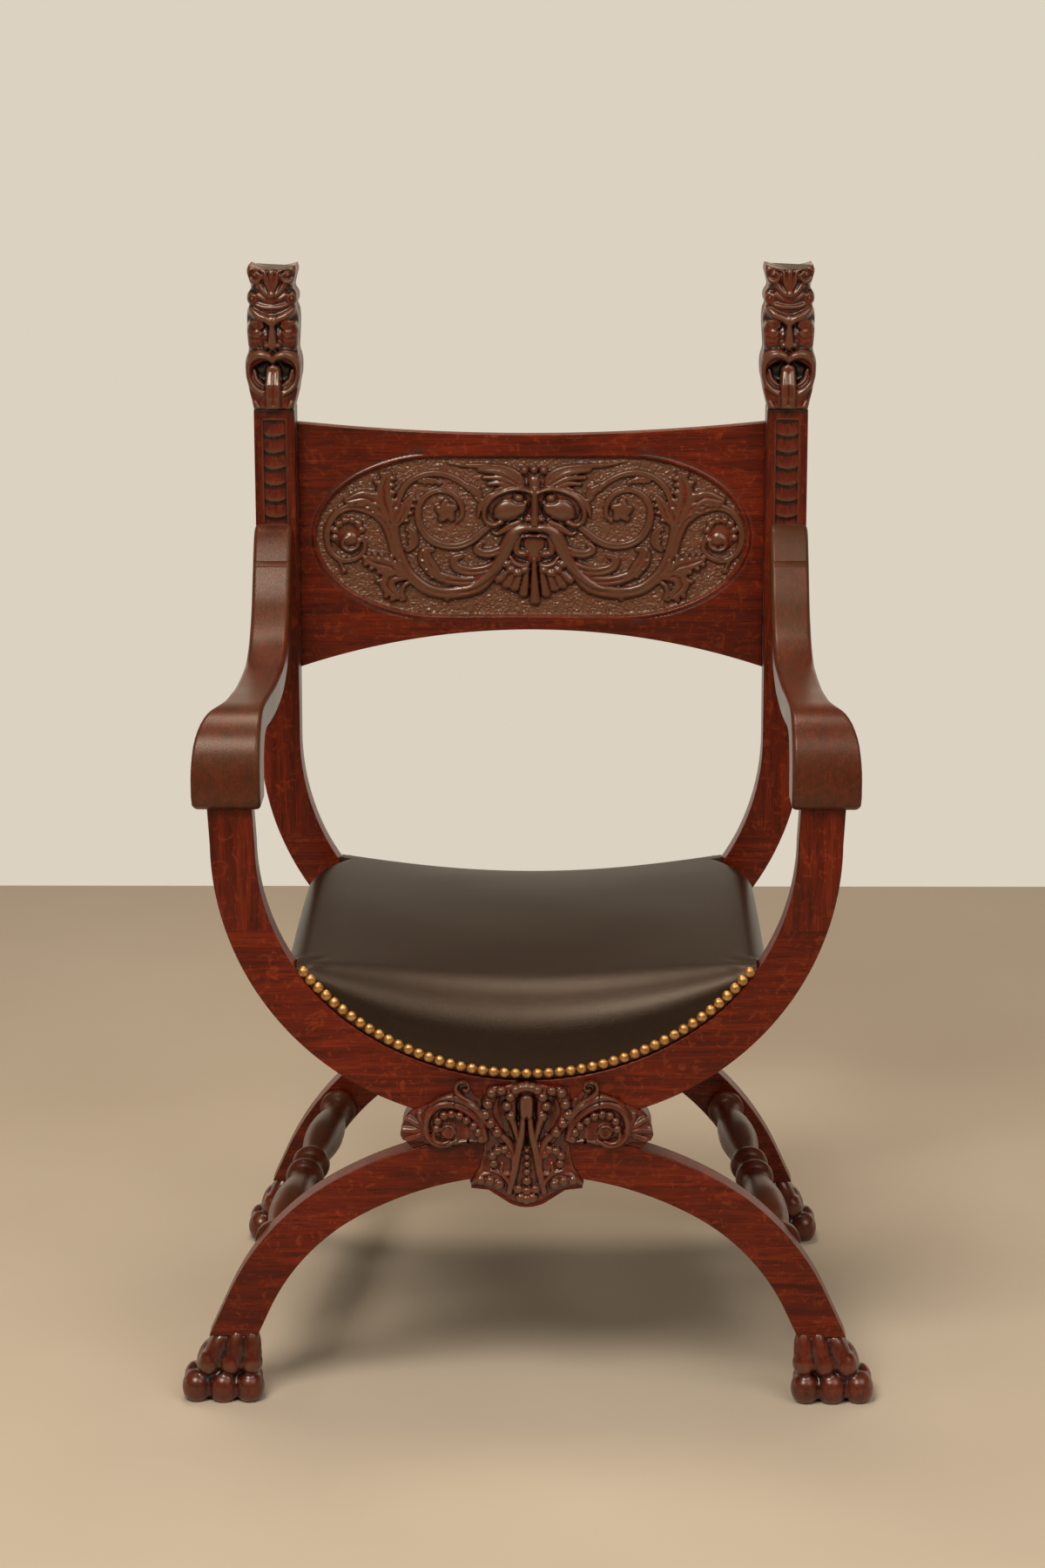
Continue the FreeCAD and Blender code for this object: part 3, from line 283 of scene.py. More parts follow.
def stained_oak(name, grain, rubbed=0.0, carved=False, depth=1.0):
    """Quarter-sawn oak with a red-brown stain under rubbed varnish: dark open pores run along the
    grain, paler rays flash across it, and the thin film gives a soft sheen."""
    material, tree, shader, place = finish_named(name)
    turned = add(tree, "Mapping", {"Vector": place, "Rotation": GRAIN_TURNS[grain]})

    # noise drawn out along the grain: growth bands 10 mm wide, streaks 1.5 mm wide and 60 mm
    # long, open pores 0.8 mm wide, and rays 2.5 mm wide and 10 mm long at a slant to the grain
    drawn = {}
    for part, stretch, detail, coarse, bend in (
            ("tone", (8, 100, 100), 3.0, 0.6, 0.7), ("streak", (16, 650, 650), 2.0, 0.7, 0.0),
            ("pore", (50, 1250, 1250), 1.0, 0.5, 0.0), ("ray", (90, 420, 90), 2.0, 0.5, 1.4)):
        lengths = add(tree, "Mapping", {"Vector": turned, "Scale": stretch})
        drawn[part] = add(tree, "TexNoise", {"Vector": lengths, "Scale": 1.0, "Detail": detail,
                                             "Roughness": coarse, "Distortion": bend})
    # the stain took unevenly over patches about 120 mm across
    patch = add(tree, "TexNoise", {"Vector": place, "Scale": 8.0, "Detail": 3.0, "Roughness": 0.6})

    band = add(tree, "ValToRGB", {"Fac": drawn["tone"]},
               stops=((0.3, "#480f04"), (0.7, "#7c260b"), (0.5, "#641804")))
    flash = add(tree, "ValToRGB", {"Fac": drawn["ray"]}, stops=((0.55, 0.0), (0.68, 0.5)))
    wood = add(tree, "MixRGB", {"Fac": flash, "Color1": band, "Color2": colour("#923a18")})
    grooves = add(tree, "ValToRGB", {"Fac": drawn["streak"]}, stops=((0.36, 0.74), (0.62, 1.05)))
    pores = add(tree, "ValToRGB", {"Fac": drawn["pore"]}, stops=((0.32, 0.42), (0.43, 1.0)))
    stain = add(tree, "ValToRGB", {"Fac": patch}, stops=((0.3, 0.7 * depth), (0.7, 1.2 * depth)))
    for share, shade in ((1.0, grooves), (0.85, pores), (1.0, stain)):
        wood = add(tree, "MixRGB", {"Fac": share, "Color1": wood, "Color2": shade}, blend_type="MULTIPLY")
    if rubbed:
        # hands have rubbed the stain to a golden brown, more on some patches
        worn = add(tree, "MapRange", {"Value": patch, "From Min": 0.3, "From Max": 0.7,
                                      "To Min": rubbed * 0.25, "To Max": rubbed * 1.3})
        wood = add(tree, "MixRGB", {"Fac": worn, "Color1": wood, "Color2": colour("#472f1d")})
    height = add(tree, "Math", {0: drawn["streak"], 1: pores}, operation="MULTIPLY")
    if carved:
        # dark wax stays in the hollows and the high spots are rubbed browner; with them, shade is painted
        # into the hollows and a lighter painted highlight onto the high spots
        relief = add(tree, "Attribute", attribute_name="relief").outputs["Fac"]
        high = add(tree, "ValToRGB", {"Fac": relief}, stops=((0.5, 0.0), (0.68, 0.9)))
        wood = add(tree, "MixRGB", {"Fac": high, "Color1": wood, "Color2": colour("#5e3a25")})
        wax_and_painted_shade = add(tree, "ValToRGB", {"Fac": relief}, stops=((0.12, "#1f1610"), (0.5, "#ffffff")))
        wood = add(tree, "MixRGB", {"Fac": 1.0, "Color1": wood, "Color2": wax_and_painted_shade}, blend_type="MULTIPLY")
        # the sunk ground is stippled with a punch: dents 2.6 mm apart
        punched = add(tree, "Attribute", attribute_name="punched").outputs["Fac"]
        worn = add(tree, "Math", {0: punched, 1: 0.6}, operation="MULTIPLY")
        wood = add(tree, "MixRGB", {"Fac": worn, "Color1": wood, "Color2": colour("#6e4a34")})
        dents = add(tree, "TexVoronoi", {"Vector": place, "Scale": 380.0})
        dents = add(tree, "Math", {0: dents, 1: punched}, operation="MULTIPLY")
        dents = add(tree, "Math", {0: dents, 1: 4.0}, operation="MULTIPLY")
        marks = add(tree, "TexNoise", {"Vector": place, "Scale": 240.0, "Detail": 2.0})
        height = add(tree, "Math", {0: marks, 1: height}, operation="ADD")
        height = add(tree, "Math", {0: dents, 1: height}, operation="ADD")
    glossy = 0.18 if rubbed else 0.08
    if carved:
        # the ornament is waxed to a higher gloss than the plain wood round it
        modelled = add(tree, "Math", {0: relief, 1: 0.5}, operation="SUBTRACT")
        modelled = add(tree, "Math", {0: modelled}, operation="ABSOLUTE")
        glossy = add(tree, "MapRange", {"Value": modelled, "From Max": 0.08, "To Min": 0.08, "To Max": 0.8})
    feed(tree, shader, {
        "Base Color": wood,
        "Roughness": add(tree, "MapRange", {"Value": patch, "To Min": 0.28, "To Max": 0.42}),
        "Normal": add(tree, "Bump", {"Height": height, "Strength": 0.4, "Distance": 0.0005}),
        "IOR": 1.5, "Specular IOR Level": 0.38 if carved else 0.3, "Specular Tint": colour("#fff0e0"),
        "Coat Weight": glossy, "Coat Roughness": 0.2 if carved else 0.28 if rubbed else 0.16})
    return material


def waxed_leather():
    """Dark brown cowhide, finished smooth and waxed: a fine pebble, faint creases, and a soft
    sheen where it is stretched over the front edge."""
    material, tree, shader, place = finish_named("waxed_dark_leather")
    # pebbles about 1.6 mm across, creases about 9 mm apart, worn patches about 90 mm wide
    pebble = add(tree, "TexVoronoi", {"Vector": place, "Scale": 620.0, "Randomness": 1.0},
                 feature="DISTANCE_TO_EDGE")
    crease = add(tree, "TexNoise", {"Vector": place, "Scale": 110.0, "Detail": 4.0, "Roughness": 0.65,
                                    "Distortion": 0.8})
    wear = add(tree, "TexNoise", {"Vector": place, "Scale": 11.0, "Detail": 4.0, "Roughness": 0.6})
    edge = add(tree, "MapRange", {"Value": pebble, "From Max": 0.12})
    both = add(tree, "Math", {0: edge, 1: crease}, operation="ADD")
    feed(tree, shader, {
        "Base Color": add(tree, "ValToRGB", {"Fac": wear}, stops=((0.3, "#100704"), (0.7, "#180c06"))),
        "Roughness": add(tree, "MapRange", {"Value": wear, "To Min": 0.36, "To Max": 0.44}),
        "Normal": add(tree, "Bump", {"Height": both, "Strength": 0.3, "Distance": 0.0003}),
        "IOR": 1.5, "Specular IOR Level": 0.5, "Specular Tint": colour("#ffdfc2"),
        "Coat Weight": 0.2, "Coat Roughness": 0.36})
    return material


def antique_brass():
    """Lacquered brass nail heads, tarnished unevenly."""
    material, tree, shader, place = finish_named("antique_brass")
    tarnish = add(tree, "TexNoise", {"Vector": place, "Scale": 300.0, "Detail": 3.0})
    shade = add(tree, "ValToRGB", {"Fac": tarnish}, stops=((0.35, "#b5834b"), (0.65, "#dbb176")))
    rough = add(tree, "MapRange", {"Value": tarnish, "To Min": 0.4, "To Max": 0.52})
    feed(tree, shader, {"Base Color": shade, "Roughness": rough, "Metallic": 1.0})
    return material


def plain_beech(name, shade, deep):
    """Unfinished beech for what lies inside the joints and the seat: pale, matt, finely flecked."""
    material, tree, shader, place = finish_named(name)
    # flecks about 1 mm wide and 8 mm long
    flecks = add(tree, "Mapping", {"Vector": place, "Scale": (120, 900, 120)})
    fleck = add(tree, "TexNoise", {"Vector": flecks, "Scale": 1.0, "Detail": 3.0})
    wood = add(tree, "ValToRGB", {"Fac": fleck}, stops=((0.35, deep), (0.65, shade)))
    feed(tree, shader, {"Base Color": wood, "Roughness": 0.7})
    return material


def black_cambric():
    """Plain-woven black cotton, stapled under the seat: dull, with its threads drawn 1 mm apart,
    coarser than the real ones so that they show."""
    material, tree, shader, place = finish_named("black_cambric")
    warp, weft = (add(tree, "TexWave", {"Vector": place, "Scale": 300.0, "Distortion": 0.4},
                      bands_direction=way).outputs["Fac"] for way in "XY")
    weave = add(tree, "Math", {0: warp, 1: weft}, operation="MULTIPLY")
    shade = add(tree, "ValToRGB", {"Fac": weave}, stops=((0.0, "#0c0c0d"), (1.0, "#26262a")))
    bump = add(tree, "Bump", {"Height": weave, "Strength": 0.4, "Distance": 0.0003})
    feed(tree, shader, {"Base Color": shade, "Normal": bump, "Roughness": 0.85})
    return material


oak_across = stained_oak("stained_oak_grain_across", "x")
oak_along = stained_oak("rubbed_oak_grain_along", "y", rubbed=0.68)
oak_upright = stained_oak("stained_oak_grain_upright", "z")
carved_oak = stained_oak("carved_oak_grain_across", "x", carved=True)
carved_upright = stained_oak("carved_oak_grain_upright", "z", carved=True, depth=0.84)
leather = waxed_leather()
brass = antique_brass()
beech = plain_beech("plain_beech", "#c8a577", "#a88356")
cambric = black_cambric()

for node_name, cad_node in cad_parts.items():
    hidden = node_name.endswith("dowels") or node_name in ("seat_deck", "seat_pad")
    cad_node.data.materials.clear()
    cad_node.data.materials.append(beech if hidden else brass if node_name.endswith("nails") else oak_across)


# ---- boards of the two frames ----

def sawn(name, node, finish, low, high, clean_face, *joints):
    """A board in place of a CAD piece, sawn to the outline of that piece's clean face."""
    stand_in(plank(name, face_outline(node, clean_face), low, high, *joints), finish, node)


# front and back of each frame's boards, and the face that no joint cuts into
FRAMES = (("front", FRONT, FRONT_BACK, FRONT), ("rear", REAR, REAR_BACK, REAR_BACK))
for (frame_name, *depths), joint in zip(FRAMES, (SEAT_JOINT, POST_JOINT)):
    sawn(frame_name + "_rail", frame_name + "_seat_rail", oak_across, *depths, joint)
for frame_name, *depths in FRAMES:
    for part in ("left_leg", "right_leg", "crossing_block"):
        board_node = "%s_%s" % (frame_name, part)
        sawn(board_node + "_board", board_node, oak_across, *depths)
for side_name, _ in SIDES:
    upright_node = "front_%s_upright" % side_name
    sawn(upright_node + "_board", upright_node, oak_upright, FRONT, FRONT_BACK, FRONT, SEAT_JOINT)


# ---- arms ----

# the arm's upper and lower edges: distances back from the front face, and heights
ARM_TOP = ((-4, 612), (-9, 614.5), (-12, 622), (-12.5, 634), (-12, 647), (-8, 664), (-2, 677), (8, 688),
           (21, 696.5), (36, 701), (60, 702), (90, 700), (130, 697), (180, 692.5), (225, 690.5), (270, 690),
           (305, 691), (326, 696), (340, 701), (355, 708), (370, 719), (386, 734), (396, 747), (409, 768),
           (420, 785), (427, 795), (434, 804), (441, 810), (447, 812), (451, 812))
ARM_UNDER = ((36, 612), (38, 615), (40, 622), (41.5, 634), (43, 648), (47, 659), (54, 666.5), (63, 670.5),
             (75, 671.5), (95, 670.5), (120, 667), (150, 664), (190, 661), (225, 660), (260, 660),
             (290, 661), (315, 665), (340, 671.5), (360, 679), (380, 691), (395, 702), (408, 714),
             (420, 727), (430, 738), (438, 748), (445, 757), (451, 765))
# how far out its outer face lies, by distance back
ARM_PLAN = ((-12, 323.5), (0, 320), (15, 315), (27, 310.5), (40, 306), (52, 302), (65, 299.2), (85, 297.3),
            (110, 296.2), (160, 295.7), (451, 295.5))
ARM_INNER = 255.0       # how far out its inner face lies
ARM_JOINT = 778.0       # height of the joint under its top block
ARM_STEPS = 70


def spaced(points, count):
    """Points evenly spaced by length along a run."""
    points = np.array(points, float)
    reach = np.concatenate(([0], np.cumsum(np.linalg.norm(np.diff(points, axis=0), axis=1))))
    wanted = np.linspace(0, reach[-1], count)
    return np.stack([np.interp(wanted, reach, points[:, axis]) for axis in range(points.shape[1])], axis=1)


def rounded_run(points, count):
    """A smooth curve through given points, evenly spaced."""
    points = np.array(points, float)
    ends = np.vstack((2 * points[0] - points[1], points, 2 * points[-1] - points[-2]))
    parts = []
    share = np.linspace(0, 1, 12, endpoint=False)[:, None]
    for a, b, c, d in zip(ends, ends[1:], ends[2:], ends[3:]):
        parts.append(0.5 * (2 * b + (c - a) * share + (2 * a - 5 * b + 4 * c - d) * share ** 2
                            + (3 * b - a - 3 * c + d) * share ** 3))
    parts.append(points[-1:])
    return spaced(np.vstack(parts), count)


def arm(side_name, side):
    """An arm as one bent bar, its edges rounded and its nose flared."""
    rings = np.zeros((ARM_STEPS, 5, 3))
    top, under = (rounded_run(line, ARM_STEPS) for line in (ARM_TOP, ARM_UNDER))
    for index, (high, low) in enumerate(zip(top, under)):
        outer_high, outer_low = (np.interp(point[0], *np.array(ARM_PLAN).T) for point in (high, low))
        corners = ((ARM_INNER, low), (outer_low, low), (outer_high, high), (ARM_INNER, high),
                   (ARM_INNER, low))
        for column, (across, point) in enumerate(corners):
            rings[index, column] = (across * side, FRONT + point[0], point[1])
    bar = shaped_grid(side_name + "_arm_bar", rings)
    close_holes(bar)
    return bar


def arm_weight(edge, one, other):
    """Rounds an arm's long edges and its nose, but not the edges of its glued rear end."""
    glued = abs(one.y - REAR) < 0.05 and abs(other.y - REAR) < 0.05
    return 1.0 if not glued and edge.calc_face_angle(0) > math.radians(40) else 0.0


def cut_at(piece, height, keep_below):
    """Saws a piece level at a height and keeps one part."""
    pick(piece)
    bpy.ops.object.mode_set(mode="EDIT")
    bpy.ops.mesh.select_all(action="SELECT")
    bpy.ops.mesh.bisect(plane_co=(0, 0, height * MM), plane_no=(0, 0, 1), use_fill=True,
                        clear_outer=keep_below, clear_inner=not keep_below)
    bpy.ops.object.mode_set(mode="OBJECT")
    tidy_normals(piece)
    smooth(piece, 40)


for side_name, side in SIDES:
    bar = arm(side_name, side)
    ease_edges(bar, 5.0, 5, 40, arm_weight)
    block = copied(bar, side_name + "_arm_top_block")
    cut_at(bar, ARM_JOINT - 0.15, True)
    cut_at(block, ARM_JOINT + 0.15, False)
    stand_in(bar, oak_along, side_name + "_arm")
    stand_in(block, oak_along, side_name + "_arm_block")


# ---- turned stretchers ----

# shares of the way from a stretcher's shoulder to its middle, and of the swelling there
STRETCHER_KNOTS = ((0.0, 0.85), (0.05, 0.85), (0.13, 0.0), (0.86, 0.5), (0.95, 0.5))
STRETCHER_VASE = ((0.13, 0.0), (0.17, 0.06), (0.24, 0.38), (0.34, 0.78), (0.46, 0.98), (0.54, 0.98),
                  (0.64, 0.76), (0.74, 0.4), (0.8, 0.2), (0.82, 0.18))
# where its axis meets the frames: distances across and depths
STRETCHER_FRONT = (254.0, FRONT_BACK)
STRETCHER_REAR = (214.5, REAR)
STRETCHER_HEIGHT = 157.0    # height of its axis
STRETCHER_FACETS = 48


def arc_through(start, middle, end, count):
    """Points on the circle through three points."""
    (ax, ay), (bx, by), (cx, cy) = start, middle, end
    d = 2 * (ax * (by - cy) + bx * (cy - ay) + cx * (ay - by))
    aa, bb, cc = ax * ax + ay * ay, bx * bx + by * by, cx * cx + cy * cy
    ux = (aa * (by - cy) + bb * (cy - ay) + cc * (ay - by)) / d
    uy = (aa * (cx - bx) + bb * (ax - cx) + cc * (bx - ax)) / d
    radius = math.hypot(ax - ux, ay - uy)
    a0, a1, a2 = (math.atan2(y - uy, x - ux) for x, y in (start, middle, end))
    while a1 < a0:
        a1 += 2 * math.pi
    while a2 < a0:
        a2 += 2 * math.pi
    if a1 > a2:
        a2 -= 2 * math.pi
    return [(ux + radius * math.cos(a), uy + radius * math.sin(a)) for a in np.linspace(a0, a2, count)]


def stretcher(side_name, side):
    """A turned bar: spun from its profile and laid between the legs."""
    run = STRETCHER_REAR[1] - STRETCHER_FRONT[1]
    slip = STRETCHER_FRONT[0] - STRETCHER_REAR[0]
    length = math.hypot(run, slip)
    half = length / 2
    shoulder = 0.3 + 20.0 * slip / run
    knots, vase = ([(12 + 8 * r, shoulder + (half - shoulder) * s) for s, r in table]
                   for table in (STRETCHER_KNOTS, STRETCHER_VASE))
    (collar, first), (_, second), (_, neck), (bead, third), (_, fourth) = knots
    profile = [(0, shoulder), knots[0], (collar + 0.8, first + 1.2), (collar + 0.8, second - 1.2), knots[1]]
    profile += arc_through(knots[1], (14.2, second + 5), (12.6, neck - 4), 8)[1:]
    profile += [tuple(p) for p in rounded_run(vase, 34)]
    profile += [(bead - 1.5, third - 0.6)]
    profile += arc_through((15, third), (20, (third + fourth) / 2), (15, fourth), 14)
    mirrored = [(r, length - y) for r, y in reversed(profile)]
    profile += arc_through((14.2, fourth + 0.8), (13.4, half), (14.2, length - fourth - 0.8), 9) + mirrored
    rings = np.zeros((len(profile), STRETCHER_FACETS + 1, 3))
    lean = Matrix.Rotation(-math.atan2(-slip * side, run), 3, "Z")
    start = Vector((STRETCHER_FRONT[0] * side, STRETCHER_FRONT[1], STRETCHER_HEIGHT))
    for row, (radius, along) in enumerate(profile):
        for column in range(STRETCHER_FACETS + 1):
            turn = 2 * math.pi * column / STRETCHER_FACETS
            rings[row, column] = lean @ Vector((radius * math.cos(turn), along, radius * math.sin(turn)))
    rings += start
    bar = shaped_grid(side_name + "_stretcher_turning", rings)
    tidy_normals(bar)
    smooth(bar, 50)
    return bar


for side_name, side in SIDES:
    stand_in(stretcher(side_name, side), oak_along, side_name + "_stretcher")


# ---- seat ----

COVER_FRONT = -238.6    # the leather's front and rear faces
COVER_BACK = 236.6
FRONT_HALF, REAR_HALF = 224.6, 208.2    # its half widths there
SEAT_BOTTOM = 412.6     # height of its edge at the sides
SIDE_ROLL = 19.0        # radius of its roll down to the sides
NARROWS = 109           # depth from which the seat narrows towards the rear
# half widths of the leather along its depth: it is notched round the curved rails
SEAT_HALVES = ((-212.6, FRONT_HALF), (-211.4, 237), (NARROWS, 237.4), (160, 229.5), (209.2, 213.5),
               (210.4, 208.6), (236.4, REAR_HALF))


def seat_rows():
    """Rows of the cover from the front nails to the rear ones: nominal depth, share down the
    drop, and turn of the roll."""
    rows = [(COVER_FRONT, share, 0) for share in np.linspace(1, 0, 24, endpoint=False)]
    rows += [(COVER_FRONT, 0, turn) for turn in np.linspace(0, math.pi / 2, 13)]
    depths = [-222, -217, -212.6, -211.4] + list(np.linspace(-206, 204, 64)) + [209.2, 210.4, 215, 220]
    rows += [(depth, 0, None) for depth in depths]
    rows += [(COVER_BACK, 0, turn) for turn in np.linspace(math.pi / 2, 0, 13)]
    rows += [(COVER_BACK, share, 0) for share in np.linspace(0, 1, 24)[1:]]
    return rows


def rolls(x, front):
    """How deep and how tall the leather's roll is over a board: it is fullest in the middle."""
    full = np.clip(1 - (np.abs(x) / (FRONT_HALF if front else REAR_HALF)) ** 3, 0, 1)
    return (10 + 46 * full, 9 + 35 * full) if front else (10 + 24 * full, 9 + 14 * full)


def crown(y):
    """Heights of the seat's top at its sides and down its middle, along its depth."""
    sides = 455.5 - np.where(y > -60, 13, 4) * ((y + 60) / 296) ** 2
    return sides, 441.0 - 17.0 * np.abs((y - 10) / 228) ** 2.3


def cover_height(x, y, behind, front):
    """Height of the crowned and dished leather at a distance across and a depth, and at a
    distance behind its own front or rear face."""
    sides, middle = crown(y)
    share = np.clip(np.abs(x) / FRONT_HALF, 0, 1)
    wide, tall = rolls(x, front)
    drop = tall * (1 - np.sqrt(1 - np.clip(1 - behind / wide, 0, 1) ** 2))
    return middle + (sides - middle) * (1.5 * share ** 2 - 0.5 * share ** 4) - drop


def seat_surface():
    """The leather's outer face: a front drop, a roll that is fuller in the middle, a crowned and
    dished top, a rear roll and a rear drop, with a rolled drop down each side."""
    across = 0.4 * np.sin(np.linspace(-math.pi / 2, math.pi / 2, 87)) + 0.6 * np.linspace(-1, 1, 87)
    table = []
    for depth, share, turn in seat_rows():
        half = np.interp(depth, *np.array(SEAT_HALVES).T)
        face, front = (COVER_BACK, -1) if depth > 0 else (COVER_FRONT, 1)
        inside = depth < FRONT_BACK or depth > REAR
        # the side roll starts at the slope that the dished top has there
        edge_roll, lean = 0.6, 0.0
        if not inside:
            sides, middle = crown(depth)
            edge_roll, lean = SIDE_ROLL, -math.atan((sides - middle) * 1.15 / FRONT_HALF)
        x = across * (half - edge_roll * (1 - math.sin(lean)))
        wide = rolls(x, front > 0)[0]
        # how far each point lies behind the leather's own front or rear face
        behind = abs(depth - face) + np.zeros_like(x)
        if turn is not None:
            behind = wide * (1 - math.cos(turn))
        else:
            behind += (wide - 10) * max(0.0, 1 - (behind[0] - 12) / 110) ** 1.5
        y = face + front * behind
        z = cover_height(x, y, behind, front > 0)
        floor = bow_height(x, *(REAR_INNER if depth > 0 else FRONT_INNER)) + 0.7
        if share > 0:
            above = np.maximum(z, floor)
            z = above + (floor - above) * share
            y = y - front * 2.2 * math.sin(math.pi * share) * np.clip(1 - across ** 2, 0, 1) ** 0.5
        if inside:
            z = np.maximum(z, floor)
        right = []
        for tilt in np.linspace(lean, math.pi / 2, 9)[1:]:
            right.append((x[-1] + edge_roll * (math.sin(tilt) - math.sin(lean)),
                          z[-1] + edge_roll * (math.cos(tilt) - math.cos(lean))))
        edge, top = right[-1]
        low = top - 0.1 if inside else SEAT_BOTTOM
        for step in np.linspace(0, 1, 6)[1:]:
            right.append((edge, top + (low - top) * step))
        right = np.array(right)
        xs = np.concatenate((-right[::-1, 0], x, right[:, 0]))
        zs = np.concatenate((right[::-1, 1], z, right[:, 1]))
        ys = np.concatenate((np.full(len(right), y[0]), y, np.full(len(right), y[-1])))
        table.append(np.stack((xs, ys, zs), axis=1))
    return np.array(table)


def settled(points):
    """The dish and soft unevenness of a seat in use, and the pulls between its nails."""
    x, y, z = points[..., 0], points[..., 1], points[..., 2]
    near_nails = np.exp(-((z - bow_height(x, *FRONT_INNER) - 8) / 12) ** 2) * (y < COVER_FRONT + 4)
    y -= 0.45 * np.sin(x / 5.35 * math.pi) * near_nails
    inner = np.clip((215 - np.abs(x)) / 60, 0, 1) * np.clip((200 - np.abs(y)) / 60, 0, 1)
    z += 0.5 * np.sin(x / 41 + 0.8 * np.sin(y / 61)) * np.sin(y / 57 + 1.1) * inner
    # short pleats run in from the front corners
    corner = np.exp(-((np.abs(x) - 212) / 16) ** 2 - ((y + 216) / 20) ** 2)
    z += 0.9 * np.sin((np.abs(x) + 0.6 * y) / 3.4) * corner
    return points


cover = shaped_grid("seat_cover", settled(seat_surface()))
tidy_normals(cover)
refine(cover, "SOLIDIFY", thickness=2.0 * MM, offset=-1)
tidy_normals(cover)
refine(cover, "SUBSURF", levels=1, render_levels=1)
bpy.ops.object.shade_smooth()
stand_in(cover, leather, "seat_leather", "seat_pad")

for board_node, outer, inner, half, inner_edge in (("seat_front_board", -236, -216, 223.8, FRONT_INNER),
                                                  ("seat_rear_board", 234, 214, 207.9, REAR_INNER)):
    x = np.linspace(-half, half, 61)
    foot = bow_height(x, *inner_edge) + 0.4
    tops = []
    for y in (outer, inner):
        behind = abs(y - (COVER_FRONT if outer < 0 else COVER_BACK))
        padded = cover_height(x, y, behind, outer < 0) - 4
        tops.append(np.maximum(padded, foot + 0.6))
    # its top edge is planed down to the roll of the padding
    corners = ((outer, foot), (outer, tops[0]), (inner, tops[1]), (inner, foot), (outer, foot))
    ring = np.stack([np.stack((x, np.full_like(x, y), z), axis=1) for y, z in corners], axis=1)
    board = shaped_grid(board_node + "_planed", ring)
    close_holes(board)
    stand_in(board, beech, board_node)

# the dust cloth under the seat sags by 1 mm in its middle
CLOTH_HEIGHT, CLOTH_STEPS = 404.9, 24
cloth_grid = np.zeros((CLOTH_STEPS, CLOTH_STEPS, 3))
for row, depth in enumerate(np.linspace(FRONT_BACK, REAR, CLOTH_STEPS)):
    half = np.interp(depth, (FRONT_BACK, NARROWS, REAR), (234.5, 234.5, 205.5))
    for column, share in enumerate(np.linspace(-1, 1, CLOTH_STEPS)):
        sag = (1 - share ** 2) * math.sin(math.pi * row / (CLOTH_STEPS - 1))
        cloth_grid[row, column] = (half * share, depth, CLOTH_HEIGHT - sag)
dust_cloth = shaped_grid("dust_cloth", cloth_grid)
refine(dust_cloth, "SOLIDIFY", thickness=0.9 * MM, offset=0)
tidy_normals(dust_cloth)
bpy.ops.object.shade_smooth()
stand_in(dust_cloth, cambric, "dust_cover")


# ---- nails ----

NAIL_RADIUS, NAIL_DOME = 5.5, 0.86      # a head's radius, and its height as a share of that
NAIL_SPREAD = 51                        # degrees of the rail's crown at each side of its middle
NAIL_RISE = 7                           # height of the row above the rail's edge


def nail_row(name, count, circle, bottom, face, outward, node):
    """One domed nail, modelled once and copied along the curved rail."""
    bpy.ops.object.select_all(action="DESELECT")
    bpy.ops.mesh.primitive_uv_sphere_add(segments=14, ring_count=10, radius=NAIL_RADIUS * MM)
    first = bpy.context.object
    bpy.ops.object.mode_set(mode="EDIT")
    bpy.ops.mesh.select_all(action="SELECT")
    bpy.ops.mesh.bisect(plane_co=(0, 0, 0), plane_no=(0, 0, 1), clear_inner=True, use_fill=True)
    bpy.ops.object.mode_set(mode="OBJECT")
    for vertex in first.data.vertices:
        vertex.co.z = -vertex.co.z * NAIL_DOME
        vertex.co.y, vertex.co.z = (vertex.co.z if outward < 0 else -vertex.co.z), vertex.co.y
    copies = [first] + [copied(first, first.name) for _ in range(count - 1)]
    for nail, share in zip(copies, np.arange(count) / (count - 1)):
        angle = math.radians(NAIL_SPREAD * (2 * share - 1))
        centre = bottom + NAIL_RISE + circle
        spot = Vector((circle * math.sin(angle), face, centre - circle * math.cos(angle))) * MM
        nail.data.transform(Matrix.Translation(spot))
    row = joined(copies, name)
    tidy_normals(row)
    smooth(row, 60)
    stand_in(row, brass, node)


nail_row("front_nail_heads", 47, 280.0, 337.0, -239.6, -1, "front_nails")
nail_row("rear_nail_heads", 43, 258.0, 330.0, 237.6, 1, "rear_nails")


# ---- carving ----

